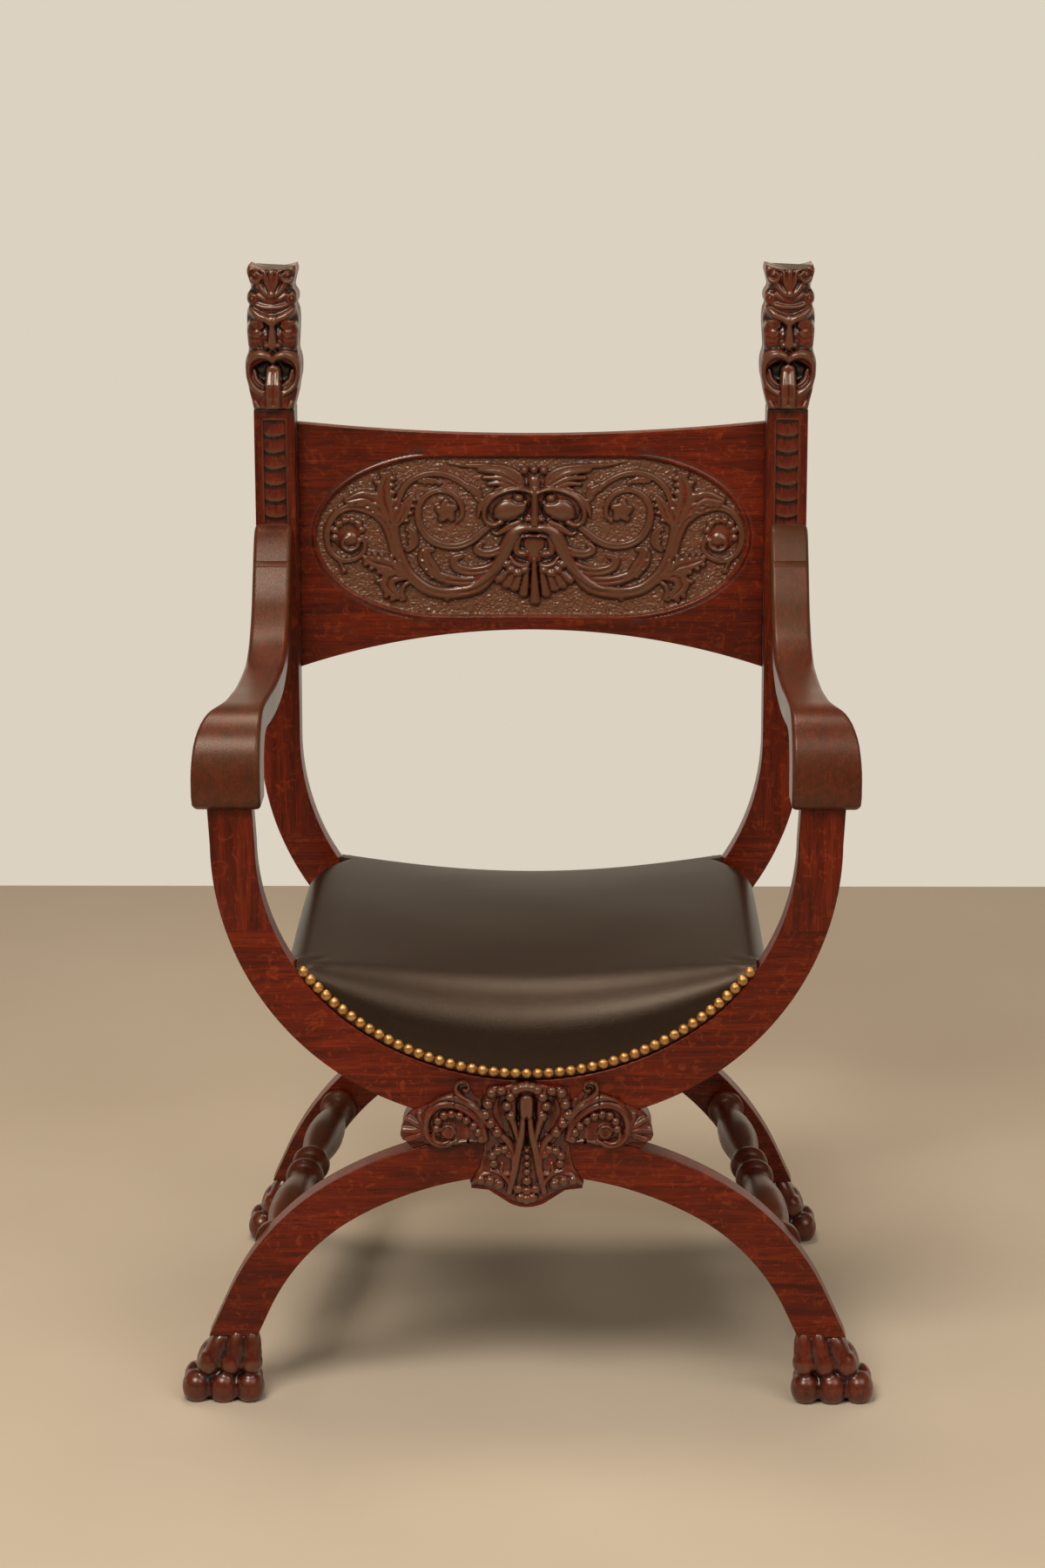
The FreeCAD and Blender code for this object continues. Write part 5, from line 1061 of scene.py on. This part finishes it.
def carve_head(x, z):
    """The carving of a mask: curls over a scowling face, an open mouth and a long tongue."""
    r = Relief(-np.abs(x), z)
    # skull under the hair, the forehead and the jaw
    r.mound((0, 1074.1), (27, 19), 4.2)
    r.mound((0, 1041.5), (28, 16), 5.2)
    r.mound((0, 1016.2), (29, 25), 5.0)
    r.mound((0, 966.2), (32, 36), 9.6)
    # curls, and a plume between them
    r.mound((-17.3, 1078.7), (8.2, 8.2), 6.8)
    r.stroke(((-8, 1085.6), (-14.5, 1087.4), (-21.1, 1086.1), (-25.3, 1080.1), (-23.9, 1073.2),
        (-17.8, 1070), (-12.2, 1073.2), (-11.3, 1078.7), (-15.5, 1081.9), (-19.2, 1079.6)),
        (3, 3.4, 3.6, 3.8, 3.8, 3.8, 3.6, 3.2, 2.6, 2.2), (8, 9, 9.4, 9.4, 9.2, 9, 9, 8.8, 8.6, 8.4))
    r.mound((-17.3, 1078.3), (3.2, 3.2), 9.4)
    r.stroke(((0, 1085.1), (0, 1071.8), (0, 1056.7)), (4.2, 4, 5), (8.8, 9.4, 11), 0.1)
    r.stroke(((-6.6, 1083.3), (-5.6, 1071.8), (-1.9, 1061.3)), (3.2, 3.8, 3.6), (8, 8.8, 9))
    r.stroke(((-13.6, 1067.2), (-9.4, 1061.3), (-3.8, 1055.7)), (4, 4.2, 3.6), (7.2, 8, 8.6))
    r.mound((0, 1056.7), (5.6, 6), 11.4)
    r.mound((-21.1, 1052.5), (7.4, 7.4), 8.4)
    r.dip((-21.1, 1052.5), (4.2, 4.2), 3)
    r.mound((-21.1, 1052.5), (2.2, 2.2), 8)
    r.stroke(((-15, 1056.7), (-8, 1052.1), (0, 1049.8)), (3.4, 3.8, 4), (6.4, 7, 7.4))
    r.stroke(((-18.3, 1046.6), (-8.9, 1043.8), (0, 1043.3)), (3.2, 3.6, 4), (6.6, 7.6, 8))
    # brow, eye, nose and cheek
    r.dip((-17.8, 1025), (13, 9), 4.4)
    r.dip((-6.1, 1023.6), (5, 9), 2.6)
    r.stroke(((-0.9, 1026.8), (-6.6, 1031.4), (-14.5, 1034.6), (-22.5, 1041.5)), (4.8, 5.6, 5.6, 4.2),
        (10.4, 11, 10, 7.6))
    r.stroke(((0, 1033.7), (-3.3, 1032.8), (-5.6, 1030)), (2.6, 2.6, 2), (8.6, 9, 8.6))
    r.mound((-17.8, 1025), (6.8, 5.4), 5.2, 2.4)
    r.stroke(((-25.3, 1023.6), (-21.6, 1028.2), (-14.5, 1028.6), (-9.4, 1024.5)), (1.7, 2, 2, 1.7),
        (6.6, 8.4, 8.6, 7.4))
    r.stroke(((-24.8, 1022.7), (-17.8, 1019.9), (-9.8, 1022.7)), (1.6, 1.8, 1.6), (6.2, 7.2, 7))
    r.mound((-19.2, 1011.6), (12, 14), 8.2)
    r.mound((-17.3, 1015.3), (9, 7), 9)
    r.cut(((-9.4, 1019), (-16.4, 1015.3), (-24.4, 1017.6)), 2, 1.2)
    r.cut(((-8, 1015.8), (-14.5, 1010.7), (-23, 1011.6)), 2, 1.1)
    r.cut(((-7.5, 1010.7), (-12.7, 1006.1), (-20.2, 1006.1)), 2, 0.9)
    r.stroke(((0, 1031.4), (0, 1021.3), (0, 1010.7), (0, 1002.9)), (3.2, 3.8, 5.2, 6.6),
        (10.4, 11, 12.4, 13.4))
    r.mound((-5.6, 1003.4), (5, 4.8), 10.4)
    r.dip((-3.8, 999.7), (2.6, 2), 2.6)
    # lips, mouth and tongue
    r.dip((0, 971.7), (24.5, 16.5), 19, 0.4)
    r.stroke(((0, 988.7), (-5.6, 992.3), (-14.5, 993.7), (-23, 989.6), (-27.7, 982.2), (-28.1, 971.7),
        (-24.4, 962.5), (-17.3, 955.6), (-10.8, 951.5)), (5.2, 6.2, 6.8, 6.6, 6, 5.4, 5, 4.6, 4),
        (12, 13.2, 13, 12.4, 11.8, 11.4, 11, 10.6, 10))
    r.stroke(((-21.1, 974.9), (-18.8, 966.6), (-12.2, 961.1), (-8, 959.7)), (3.4, 3.4, 3.2, 2.8),
        (1.6, 3.4, 4, 3.6))
    r.stroke(((0, 975.8), (0, 963.9), (0, 945.5), (0, 934.9)), (8, 9.2, 9.8, 9.2), (5, 12.4, 13, 10.4),
        0.0, 3)
    r.stroke(((-5.2, 974), (-5.6, 963.9), (-5.6, 950.1), (-5.2, 936.3)), (2.6, 3.2, 3.2, 2.6),
        (5.4, 13, 13, 10))
    r.stroke(((-28.1, 963.9), (-24.8, 953.3), (-20.2, 942.3), (-14.5, 933.5)), (4, 4.8, 5, 4),
        (8.4, 8.2, 7.4, 5))
    r.cut(((0, 995.6), (0, 988.2)), 1.8, 2)
    r.cut(((0, 973.1), (0, 954.7), (0, 940.9)), 1.8, 1.6)
    return r.height


SHAFT_TOP = 935.0       # height where a post's shaft ends and its mask begins
# a post's strip of scales: its half width and top, and the height and bow of one scale
STRIP_HALF, STRIP_TOP, SCALE_RISE, SCALE_BOW = 11.8, 922.5, 17.5, 3.4


def carve_post(x, z):
    """The whole front of a post's top: the mask, and the strip of scales below it."""
    height = np.where(z > SHAFT_TOP, carve_head(x, z), 0.0)
    # each scale slopes out to its curved lower edge, and a gouge has left ridges down it
    inside = (np.abs(x) < STRIP_HALF) & (z < STRIP_TOP)
    up = np.mod(z - SCALE_BOW * (x / STRIP_HALF) ** 2 - (STRIP_TOP - SCALE_RISE), SCALE_RISE)
    lip = np.sqrt(1 - np.clip(1 - up / 1.8, 0, 1) ** 2)
    slope = (3.4 - 2.6 * (up / SCALE_RISE) ** 0.8) * lip * (1 - 0.3 * (x / STRIP_HALF) ** 6)
    scales = slope - 3.2 + 0.13 * np.sin(2.4 * x + 0.5 * np.sin(z / 3.1)) * lip
    return np.where(inside, scales, height)


def blurred(table, times):
    """Averages each place of a table with its neighbours, a number of times."""
    for _ in range(times):
        wide = np.pad(table, 1, mode="edge")
        around = wide[:-2, 1:-1] + wide[2:, 1:-1] + wide[1:-1, :-2] + wide[1:-1, 2:]
        table = (around + 4 * wide[1:-1, 1:-1]) / 8
    return table


def mark(piece, name, values):
    """Keeps a share for each point of a table on the mesh, for its finish."""
    layer = piece.data.attributes.new(name, "FLOAT", "POINT")
    layer.data.foreach_set("value", np.clip(values, 0, 1).reshape(-1).astype(np.float32))


def hollows(height, ground):
    """A share for the carved finish: half on plain wood, less in hollows and on the ground, more on what
    stands out. The finish turns low shares darker, as dark wax and painted shade, and high ones lighter
    brown, as rubbed wear and painted highlight.
    """
    near, far = blurred(height, 12), blurred(height, 130)
    return 0.5 + 0.18 * (height - near) + 0.07 * (height - far) - 0.25 * (height < ground)


def carved_plate(name, x, z, face, back, height, ease, relief):
    """A plate with a carved face, from tables of its points across and up and of the heights
    above its face. Its edges are eased, and its back is flat."""
    border = np.minimum(np.minimum(x - x[:, :1], x[:, -1:] - x), np.minimum(z - z[:1], z[-1:] - z))
    drop = np.where(border < ease, ease - np.sqrt(np.maximum(ease ** 2 - (ease - border) ** 2, 0)), 0)
    points = np.stack((x, face - height + drop, z), axis=2)
    points = np.pad(points, ((1, 1), (1, 1), (0, 0)), mode="edge")
    points[0, :, 1] = points[-1, :, 1] = points[:, 0, 1] = points[:, -1, 1] = back
    plate = shaped_grid(name, points)
    mark(plate, "relief", np.pad(relief, 1, mode="edge"))
    return plate


def finished(piece, degrees=50):
    """Closes a carved piece and shades it."""
    close_holes(piece)
    smooth(piece, degrees)
    return piece


# back panel: its top and bottom edges are arcs, and its ornament lies in a sunk field, whose
# outline is a straight middle between two half ellipses
PANEL_FACE, PANEL_BACK, PANEL_HALF = 238.0, 251.0, 250.6
FIELD_CENTRE, FIELD_DEPTH = 793.0, 4.6
FIELD_MIDDLE, FIELD_REACH, FIELD_RISE = 95, 138, 87.5


def edge_arc(x, end, rise):
    """Height of an arc that passes its ends at a height and its middle above or below them."""
    radius = (PANEL_HALF ** 2 + rise ** 2) / (2 * abs(rise))
    sag = radius - np.sqrt(radius ** 2 - x ** 2)
    return end + rise - math.copysign(1, rise) * sag


steps = np.array((0, 0.15, 0.5, 1.0))
columns = np.concatenate((steps - PANEL_HALF, np.linspace(-246, 246, 421), PANEL_HALF - steps[::-1]))
under, over = edge_arc(columns, 650.0, 41.0), edge_arc(columns, 917.0, -13.0)
steps, margin = steps[:, None], np.array((0.25, 0.6))[:, None]
panel_z = np.vstack((under + steps, under + 1 + (702 - under) * margin,
                     np.repeat(np.linspace(703, 883, 176)[:, None], len(columns), axis=1),
                     over - 1 - (over - 884) * margin[::-1], over - steps[::-1]))
panel_x = np.repeat(columns[None, :], len(panel_z), axis=0)
# distance outside the field's outline
past = np.maximum(np.abs(panel_x) - FIELD_MIDDLE, 0) / FIELD_REACH
level = (panel_z - FIELD_CENTRE) / FIELD_RISE
reach = np.maximum(np.hypot(past, level), 1e-3)
inset = (reach - 1) * reach / np.maximum(np.hypot(past / FIELD_REACH, level / FIELD_RISE), 1e-6)
ornament = blurred(np.minimum(carve_panel(panel_x, panel_z), 8.4), 1)
step_down = np.clip(-inset / 3.0, 0, 1)
step_down = step_down ** 2 * (3 - 2 * step_down)
ground = step_down * np.clip(1 - ornament / 0.5, 0, 1)
stipple = blurred(np.random.default_rng(5).uniform(-1, 1, panel_x.shape), 1)
panel_height = (ornament - FIELD_DEPTH) * step_down + 1.3 * stipple * ground
# a line is cut round the field, and its edge is raised a little
line = np.exp(-((inset - 4.2) / 0.9) ** 2)
panel_height -= 0.9 * line
panel_height += 0.35 * np.exp(-((inset - 1.4) / 1.2) ** 2)
# the relief share paints shade round the ornament, in the low stipple dents and in the cut line, and a
# painted highlight on what stands out, along with dark wax and rubbed wear
panel_relief = 0.5 + step_down * (2.1 * hollows(ornament, -1.0) - 0.92)
panel_relief = panel_relief + 0.35 * stipple * ground - 0.2 * line
panel = carved_plate("carved_back_panel", panel_x, panel_z, PANEL_FACE, PANEL_BACK, panel_height, 1.5,
                     panel_relief)
mark(panel, "punched", np.pad(ground, 1, mode="edge"))
stand_in(finished(panel), carved_oak, "back_panel")

# crest
half_columns = np.concatenate((np.linspace(-124.5, -60.5, 92), np.linspace(-60, -53.5, 22),
                               np.linspace(-53, 0, 76)))
columns = np.concatenate((half_columns, -half_columns[-2::-1]))
over, under = (np.interp(-np.abs(columns), *np.array(line).T) for line in (CREST_TOP, CREST_BOTTOM))
share = np.concatenate(((0, 0.003, 0.01, 0.02), np.linspace(0.03, 0.97, 150), (0.98, 0.99, 0.997, 1)))
share = share[:, None]
crest_z = under + (over - under) * share
crest_x = np.repeat(columns[None, :], len(share), axis=0)
crest_height = blurred(carve_crest(crest_x, crest_z), 1)
# its relief share paints shade in the hollows and on the low plate, and a painted highlight on what stands
# out, along with dark wax
crest = carved_plate("carved_crest", crest_x, crest_z, FRONT, FRONT + 1, crest_height, 0.8,
                     hollows(crest_height, 0.5))
stand_in(finished(crest), carved_oak, "front_crest")


# posts: the lower part is sawn, the top with its mask and scales is carved
POST_CENTRE, SHAFT_HALF, SEAM = 272.75, 21.75, 812.0
TAPER_MIDDLE, TAPER_TOP = 560, 640      # a post grows thicker backwards from its joint up to there
# the mask's outline: shares of its height and of its half width
HEAD_RISE, HEAD_HALF = 152.0, 29.3
HEAD_SHARES = ((0, 0.72), (0.04, 0.77), (0.114, 0.864), (0.19, 0.936), (0.235, 0.985), (0.311, 1.0),
               (0.356, 0.975), (0.416, 0.896), (0.492, 0.912), (0.598, 0.944), (0.681, 0.92),
               (0.726, 0.845), (0.757, 0.905), (0.802, 0.895), (0.847, 0.77), (0.9, 0.816),
               (0.961, 0.895), (1.0, 0.85))


def levelled(outline, height, keep_above=True):
    """An outline with points added where it crosses a height, and with the part above it or not."""
    kept = []
    for one, other in zip(outline, outline[1:] + outline[:1]):
        if keep_above or one[1] <= height:
            kept.append(one)
        if (one[1] - height) * (other[1] - height) < -0.01:
            share = (height - one[1]) / (other[1] - one[1])
            kept.append((one[0] + (other[0] - one[0]) * share, height))
    return kept


def carved_post(side_name, side):
    """The top of a post as one closed ring after another: carved front, plain sides and back."""
    post_top = SHAFT_TOP + HEAD_RISE
    rows = np.concatenate((np.arange(SEAM, SHAFT_TOP - 1, 1.15), np.arange(SHAFT_TOP, post_top, 0.95),
                           [post_top]))
    outline = rounded_run([(up * HEAD_RISE, out * HEAD_HALF) for up, out in HEAD_SHARES], 120)
    half = np.where(rows < SHAFT_TOP, SHAFT_HALF, np.interp(rows - SHAFT_TOP, *outline.T))
    on_head = np.clip((rows - SHAFT_TOP) / 10, 0, 1)
    turn = np.linspace(-1, 1, 85)
    across = (0.35 * np.sin(turn * math.pi / 2) + 0.65 * turn)[None, :] * half[:, None]
    up = np.repeat(rows[:, None], len(turn), axis=1)
    height = carve_post(across, up)
    height = np.where(up > SHAFT_TOP, blurred(height, 3), blurred(height, 1))
    # the shaft's front edges are eased, and the head is rounded
    out = np.abs(across) / half[:, None]
    edge = half[:, None] - np.abs(across)
    soft = np.where(edge < 1.5, 1.5 - np.sqrt(np.maximum(2.25 - (1.5 - edge) ** 2, 0)), 0)
    rounded = 9.0 * (1 - np.sqrt(np.maximum(1 - out ** 3.2, 0)))
    head = on_head[:, None]
    front = REAR - height * (1 - 0.15 * head) + soft * (1 - head) + rounded * head
    crown = np.clip((rows - (post_top - 4)) / 4, 0, 1)[:, None]
    front = front + 4 * (1 - np.sqrt(np.maximum(1 - crown ** 2, 0)))
    back_edge = POST_BACK - 1.5
    left, right = [], []
    for wall, column, inward in ((left, 0, 1), (right, -1, -1)):
        for place in np.linspace(0, 1, 15)[1:]:
            curl = 1.6 * np.sin(place * math.pi) * on_head * np.sin((rows - SHAFT_TOP) / 9.5) ** 2
            depth = front[:, column] + (back_edge - front[:, column]) * place
            wall.append(np.stack((across[:, column] + inward * curl, depth, rows), axis=1))
    back = [np.stack(((half - 1.2) * place, np.full(len(rows), POST_BACK), rows), axis=1)
            for place in np.linspace(1, -1, 13)]
    ring = np.stack((across, front, up), axis=2)
    points = np.concatenate((ring, np.stack(right + back + left[::-1], axis=1), ring[:, :1]), axis=1)
    # the top is hollowed between the curls
    hollow = 4.5 * np.clip((rows - (post_top - 14)) / 14, 0, 1)[:, None]
    points[:, :, 2] -= hollow * np.clip(1 - (points[:, :, 0] / half[:, None]) ** 2, 0, 1)
    points[:, :, 0] += POST_CENTRE * side
    post = shaped_grid(side_name + "_post_mask", points)
    plain = np.full((len(rows), points.shape[1] - len(turn)), 0.5)
    # the relief share paints shade into the mask's hollows and between the scales, and a painted highlight
    # on what stands out, along with dark wax; the plain sides and back get none
    mark(post, "relief", np.concatenate((hollows(height, -2.0), plain), axis=1))
    return finished(post, 60)


for side_name, side in SIDES:
    post_node = "rear_%s_post" % side_name
    outline = levelled(face_outline(post_node, REAR), SEAM, keep_above=False)
    outline = levelled(levelled(outline, TAPER_TOP), TAPER_MIDDLE)
    lower = plank(post_node + "_shaft", outline, REAR, POST_BACK, POST_JOINT, SEAM)
    for vertex in lower.data.vertices:
        spot = vertex.co / MM
        taper = np.interp(spot.z, (POST_JOINT, TAPER_TOP), (REAR_BACK, POST_BACK))
        vertex.co.y = (REAR + (spot.y - REAR) * (taper - REAR) / (POST_BACK - REAR)) * MM
    stand_in(lower, oak_upright)
    top = carved_post(side_name, side)
    stand_in(top, carved_upright)
    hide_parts(post_node)


# ---- paws ----

# each swelling: how far outwards, back and up its middle lies, its three radii, and how many
# degrees it leans backwards and splays outwards
PAW_SWELLINGS = (
    ((12, 16, 13.5), (15, 17, 17), 0, 0), ((9.8, 15, 40), (11.5, 12.5, 13), 4, 0),
    ((9.5, 16.5, 51), (10, 11.5, 26), 10, 2), ((38, 15.5, 13.5), (15.5, 17, 17.5), 0, 0),
    ((30, 14.5, 40), (12, 12.5, 13.5), 4, 6), ((26.5, 16, 51), (10, 11.5, 26), 10, 9),
    ((65, 17, 13.5), (15, 17, 17), 0, 0), ((52, 15.5, 39), (12, 12.5, 13.5), 4, 20),
    ((46, 17.5, 50), (10.2, 11.5, 24), 10, 24), ((68, 34, 15), (11.5, 16, 17), 0, 0),
    ((54, 32, 40), (11, 14, 19), 0, 22), ((46, 31.5, 52), (9.5, 12, 18), 0, 22),
    ((40, 30, 16), (36, 24, 18), 0, 0), ((28, 28, 44), (28, 19.5, 21), 0, 0),
    ((24, 28, 58), (23, 17, 17), 0, 0), ((14, 34, 16), (14, 17, 17), 0, 0),
)


def paw(name, inner_edge, tip, side):
    """A lion's paw: swellings for its toes and knuckles, melted together and smoothed."""
    parts = []
    for middle, radii, tilt, splay in PAW_SWELLINGS:
        bpy.ops.object.select_all(action="DESELECT")
        bpy.ops.mesh.primitive_uv_sphere_add(segments=28, ring_count=18, radius=1)
        part = bpy.context.object
        for vertex in part.data.vertices:
            vertex.co = [math.copysign(abs(v) ** 0.94, v) for v in vertex.co]
        spot = Vector(((inner_edge + middle[0]) * side, tip + middle[1], middle[2])) * MM
        lean = Matrix.Rotation(math.radians(-tilt), 4, "X")
        lean = lean @ Matrix.Rotation(math.radians(-splay * side), 4, "Y")
        size = Matrix.Diagonal((radii[0] * MM, radii[1] * MM, radii[2] * MM, 1))
        part.data.transform(Matrix.Translation(spot) @ lean @ size)
        parts.append(part)
    foot = joined(parts, name)
    refine(foot, "REMESH", mode="VOXEL", voxel_size=1.5 * MM)
    refine(foot, "SMOOTH", factor=0.5, iterations=11)
    spots = np.zeros(len(foot.data.vertices) * 3, np.float32)
    foot.data.vertices.foreach_get("co", spots)
    spots = spots.reshape(-1, 3)
    spots[:, 2] = np.maximum(spots[:, 2], 0)
    foot.data.vertices.foreach_set("co", spots.reshape(-1))
    foot.data.update()
    # how far each point stands out from the foot's shape smoothed over about 8 mm: the finish paints shade
    # into the creases between the toes and a painted highlight on their tops, along with dark wax
    ends = np.zeros(len(foot.data.edges) * 2, np.int32)
    foot.data.edges.foreach_get("vertices", ends)
    one, other = ends[::2], ends[1::2]
    count = np.bincount(ends, minlength=len(spots))[:, None]
    melted = spots.astype(float)
    for _ in range(30):
        total = np.zeros_like(melted)
        np.add.at(total, one, melted[other])
        np.add.at(total, other, melted[one])
        melted = (melted + total / count) / 2
    out = np.array([vertex.normal for vertex in foot.data.vertices])
    mark(foot, "relief", 0.5 + 0.25 * (((spots - melted) * out).sum(axis=1) / MM - 0.5))
    bpy.ops.object.shade_smooth()
    return foot


for frame_name, face in (("front", FRONT), ("rear", REAR)):
    for side_name, side in SIDES:
        paw_node = "%s_%s_paw" % (frame_name, side_name)
        corners = np.array([v.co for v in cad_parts[paw_node].data.vertices]) / MM
        inner_edge = np.abs(corners[:, 0]).min()
        foot = paw(paw_node + "_carving", inner_edge, face - 12.0, side)
        stand_in(foot, carved_upright, paw_node)


# ---- floor, light and camera ----

def pale_floor():
    """Matt, pale studio floor."""
    material, tree, shader, place = finish_named("pale_floor")
    mottle = add(tree, "TexNoise", {"Vector": place, "Scale": 2.0, "Detail": 4.0})
    shade = add(tree, "ValToRGB", {"Fac": mottle}, stops=((0.3, "#c6bbaa"), (0.7, "#cdc3b3")))
    feed(tree, shader, {"Base Color": shade, "Roughness": 0.7})
    return material


bpy.ops.object.select_all(action="DESELECT")
bpy.ops.mesh.primitive_plane_add(size=14, location=(0, -5.3, 0))
floor = bpy.context.object
floor.name = "studio_floor"
bpy.ops.object.transform_apply(location=True)
floor.data.materials.append(pale_floor())

world = bpy.data.worlds.new("studio")
world.use_nodes = True
bpy.context.scene.world = world
sky = world.node_tree
toward = add(sky, "SeparateXYZ", {"Vector": add(sky, "TexCoord").outputs["Generated"]}).outputs
walls = add(sky, "ValToRGB", {"Fac": toward["Z"]},
            stops=((0.0, "#e6dccb"), (1.0, "#857b6d"), (0.03, "#fff0dc"), (0.18, "#fbe3c0"),
                   (0.27, "#38271a")))
# the room behind the camera is dimmer
beyond = add(sky, "MapRange", {"Value": toward["Y"], "From Min": -0.5, "From Max": 0.2})
room = add(sky, "MixRGB", {"Fac": beyond, "Color1": colour("#6d6255"), "Color2": walls})
feed(sky, sky.nodes["Background"], {"Color": room, "Strength": 0.9})


def soft_light(name, place, size, power, tint):
    """A large soft light that faces the middle of the chair."""
    lamp = bpy.data.lights.new(name, "AREA")
    lamp.shape = "DISK"
    lamp.size = size
    lamp.energy = power
    lamp.color = colour(tint)[:3]
    holder = bpy.data.objects.new(name, lamp)
    bpy.context.scene.collection.objects.link(holder)
    holder.location = place
    aim = Vector((0, 0, 0.5)) - Vector(place)
    holder.rotation_euler = aim.to_track_quat("-Z", "Y").to_euler()


soft_light("key_light", (-0.9, -2.1, 3.1), 1.5, 82, "#fff1df")
soft_light("fill_light", (1.6, -1.9, 2.9), 2.2, 34, "#fff2e4")
soft_light("top_light", (-0.2, 0.7, 2.9), 1.2, 26, "#ffe9d0")

# a long lens, 3.7 m in front of the chair and 1.5 m up
eye = bpy.data.cameras.new("photo_camera")
eye.lens = 84.0
eye.sensor_fit = "VERTICAL"
eye.sensor_height = 36.0
camera = bpy.data.objects.new("photo_camera", eye)
bpy.context.scene.collection.objects.link(camera)
turn = Matrix.Rotation(math.radians(0.79), 4, "Z") @ Matrix.Rotation(math.radians(90 - 13.8), 4, "X")
camera.matrix_world = (Matrix.Translation((0.0437, -3.6547, 1.475)) @ turn
                       @ Matrix.Rotation(math.radians(-0.14), 4, "Z"))
bpy.context.scene.camera = camera
bpy.context.scene.view_settings.view_transform = "Standard"
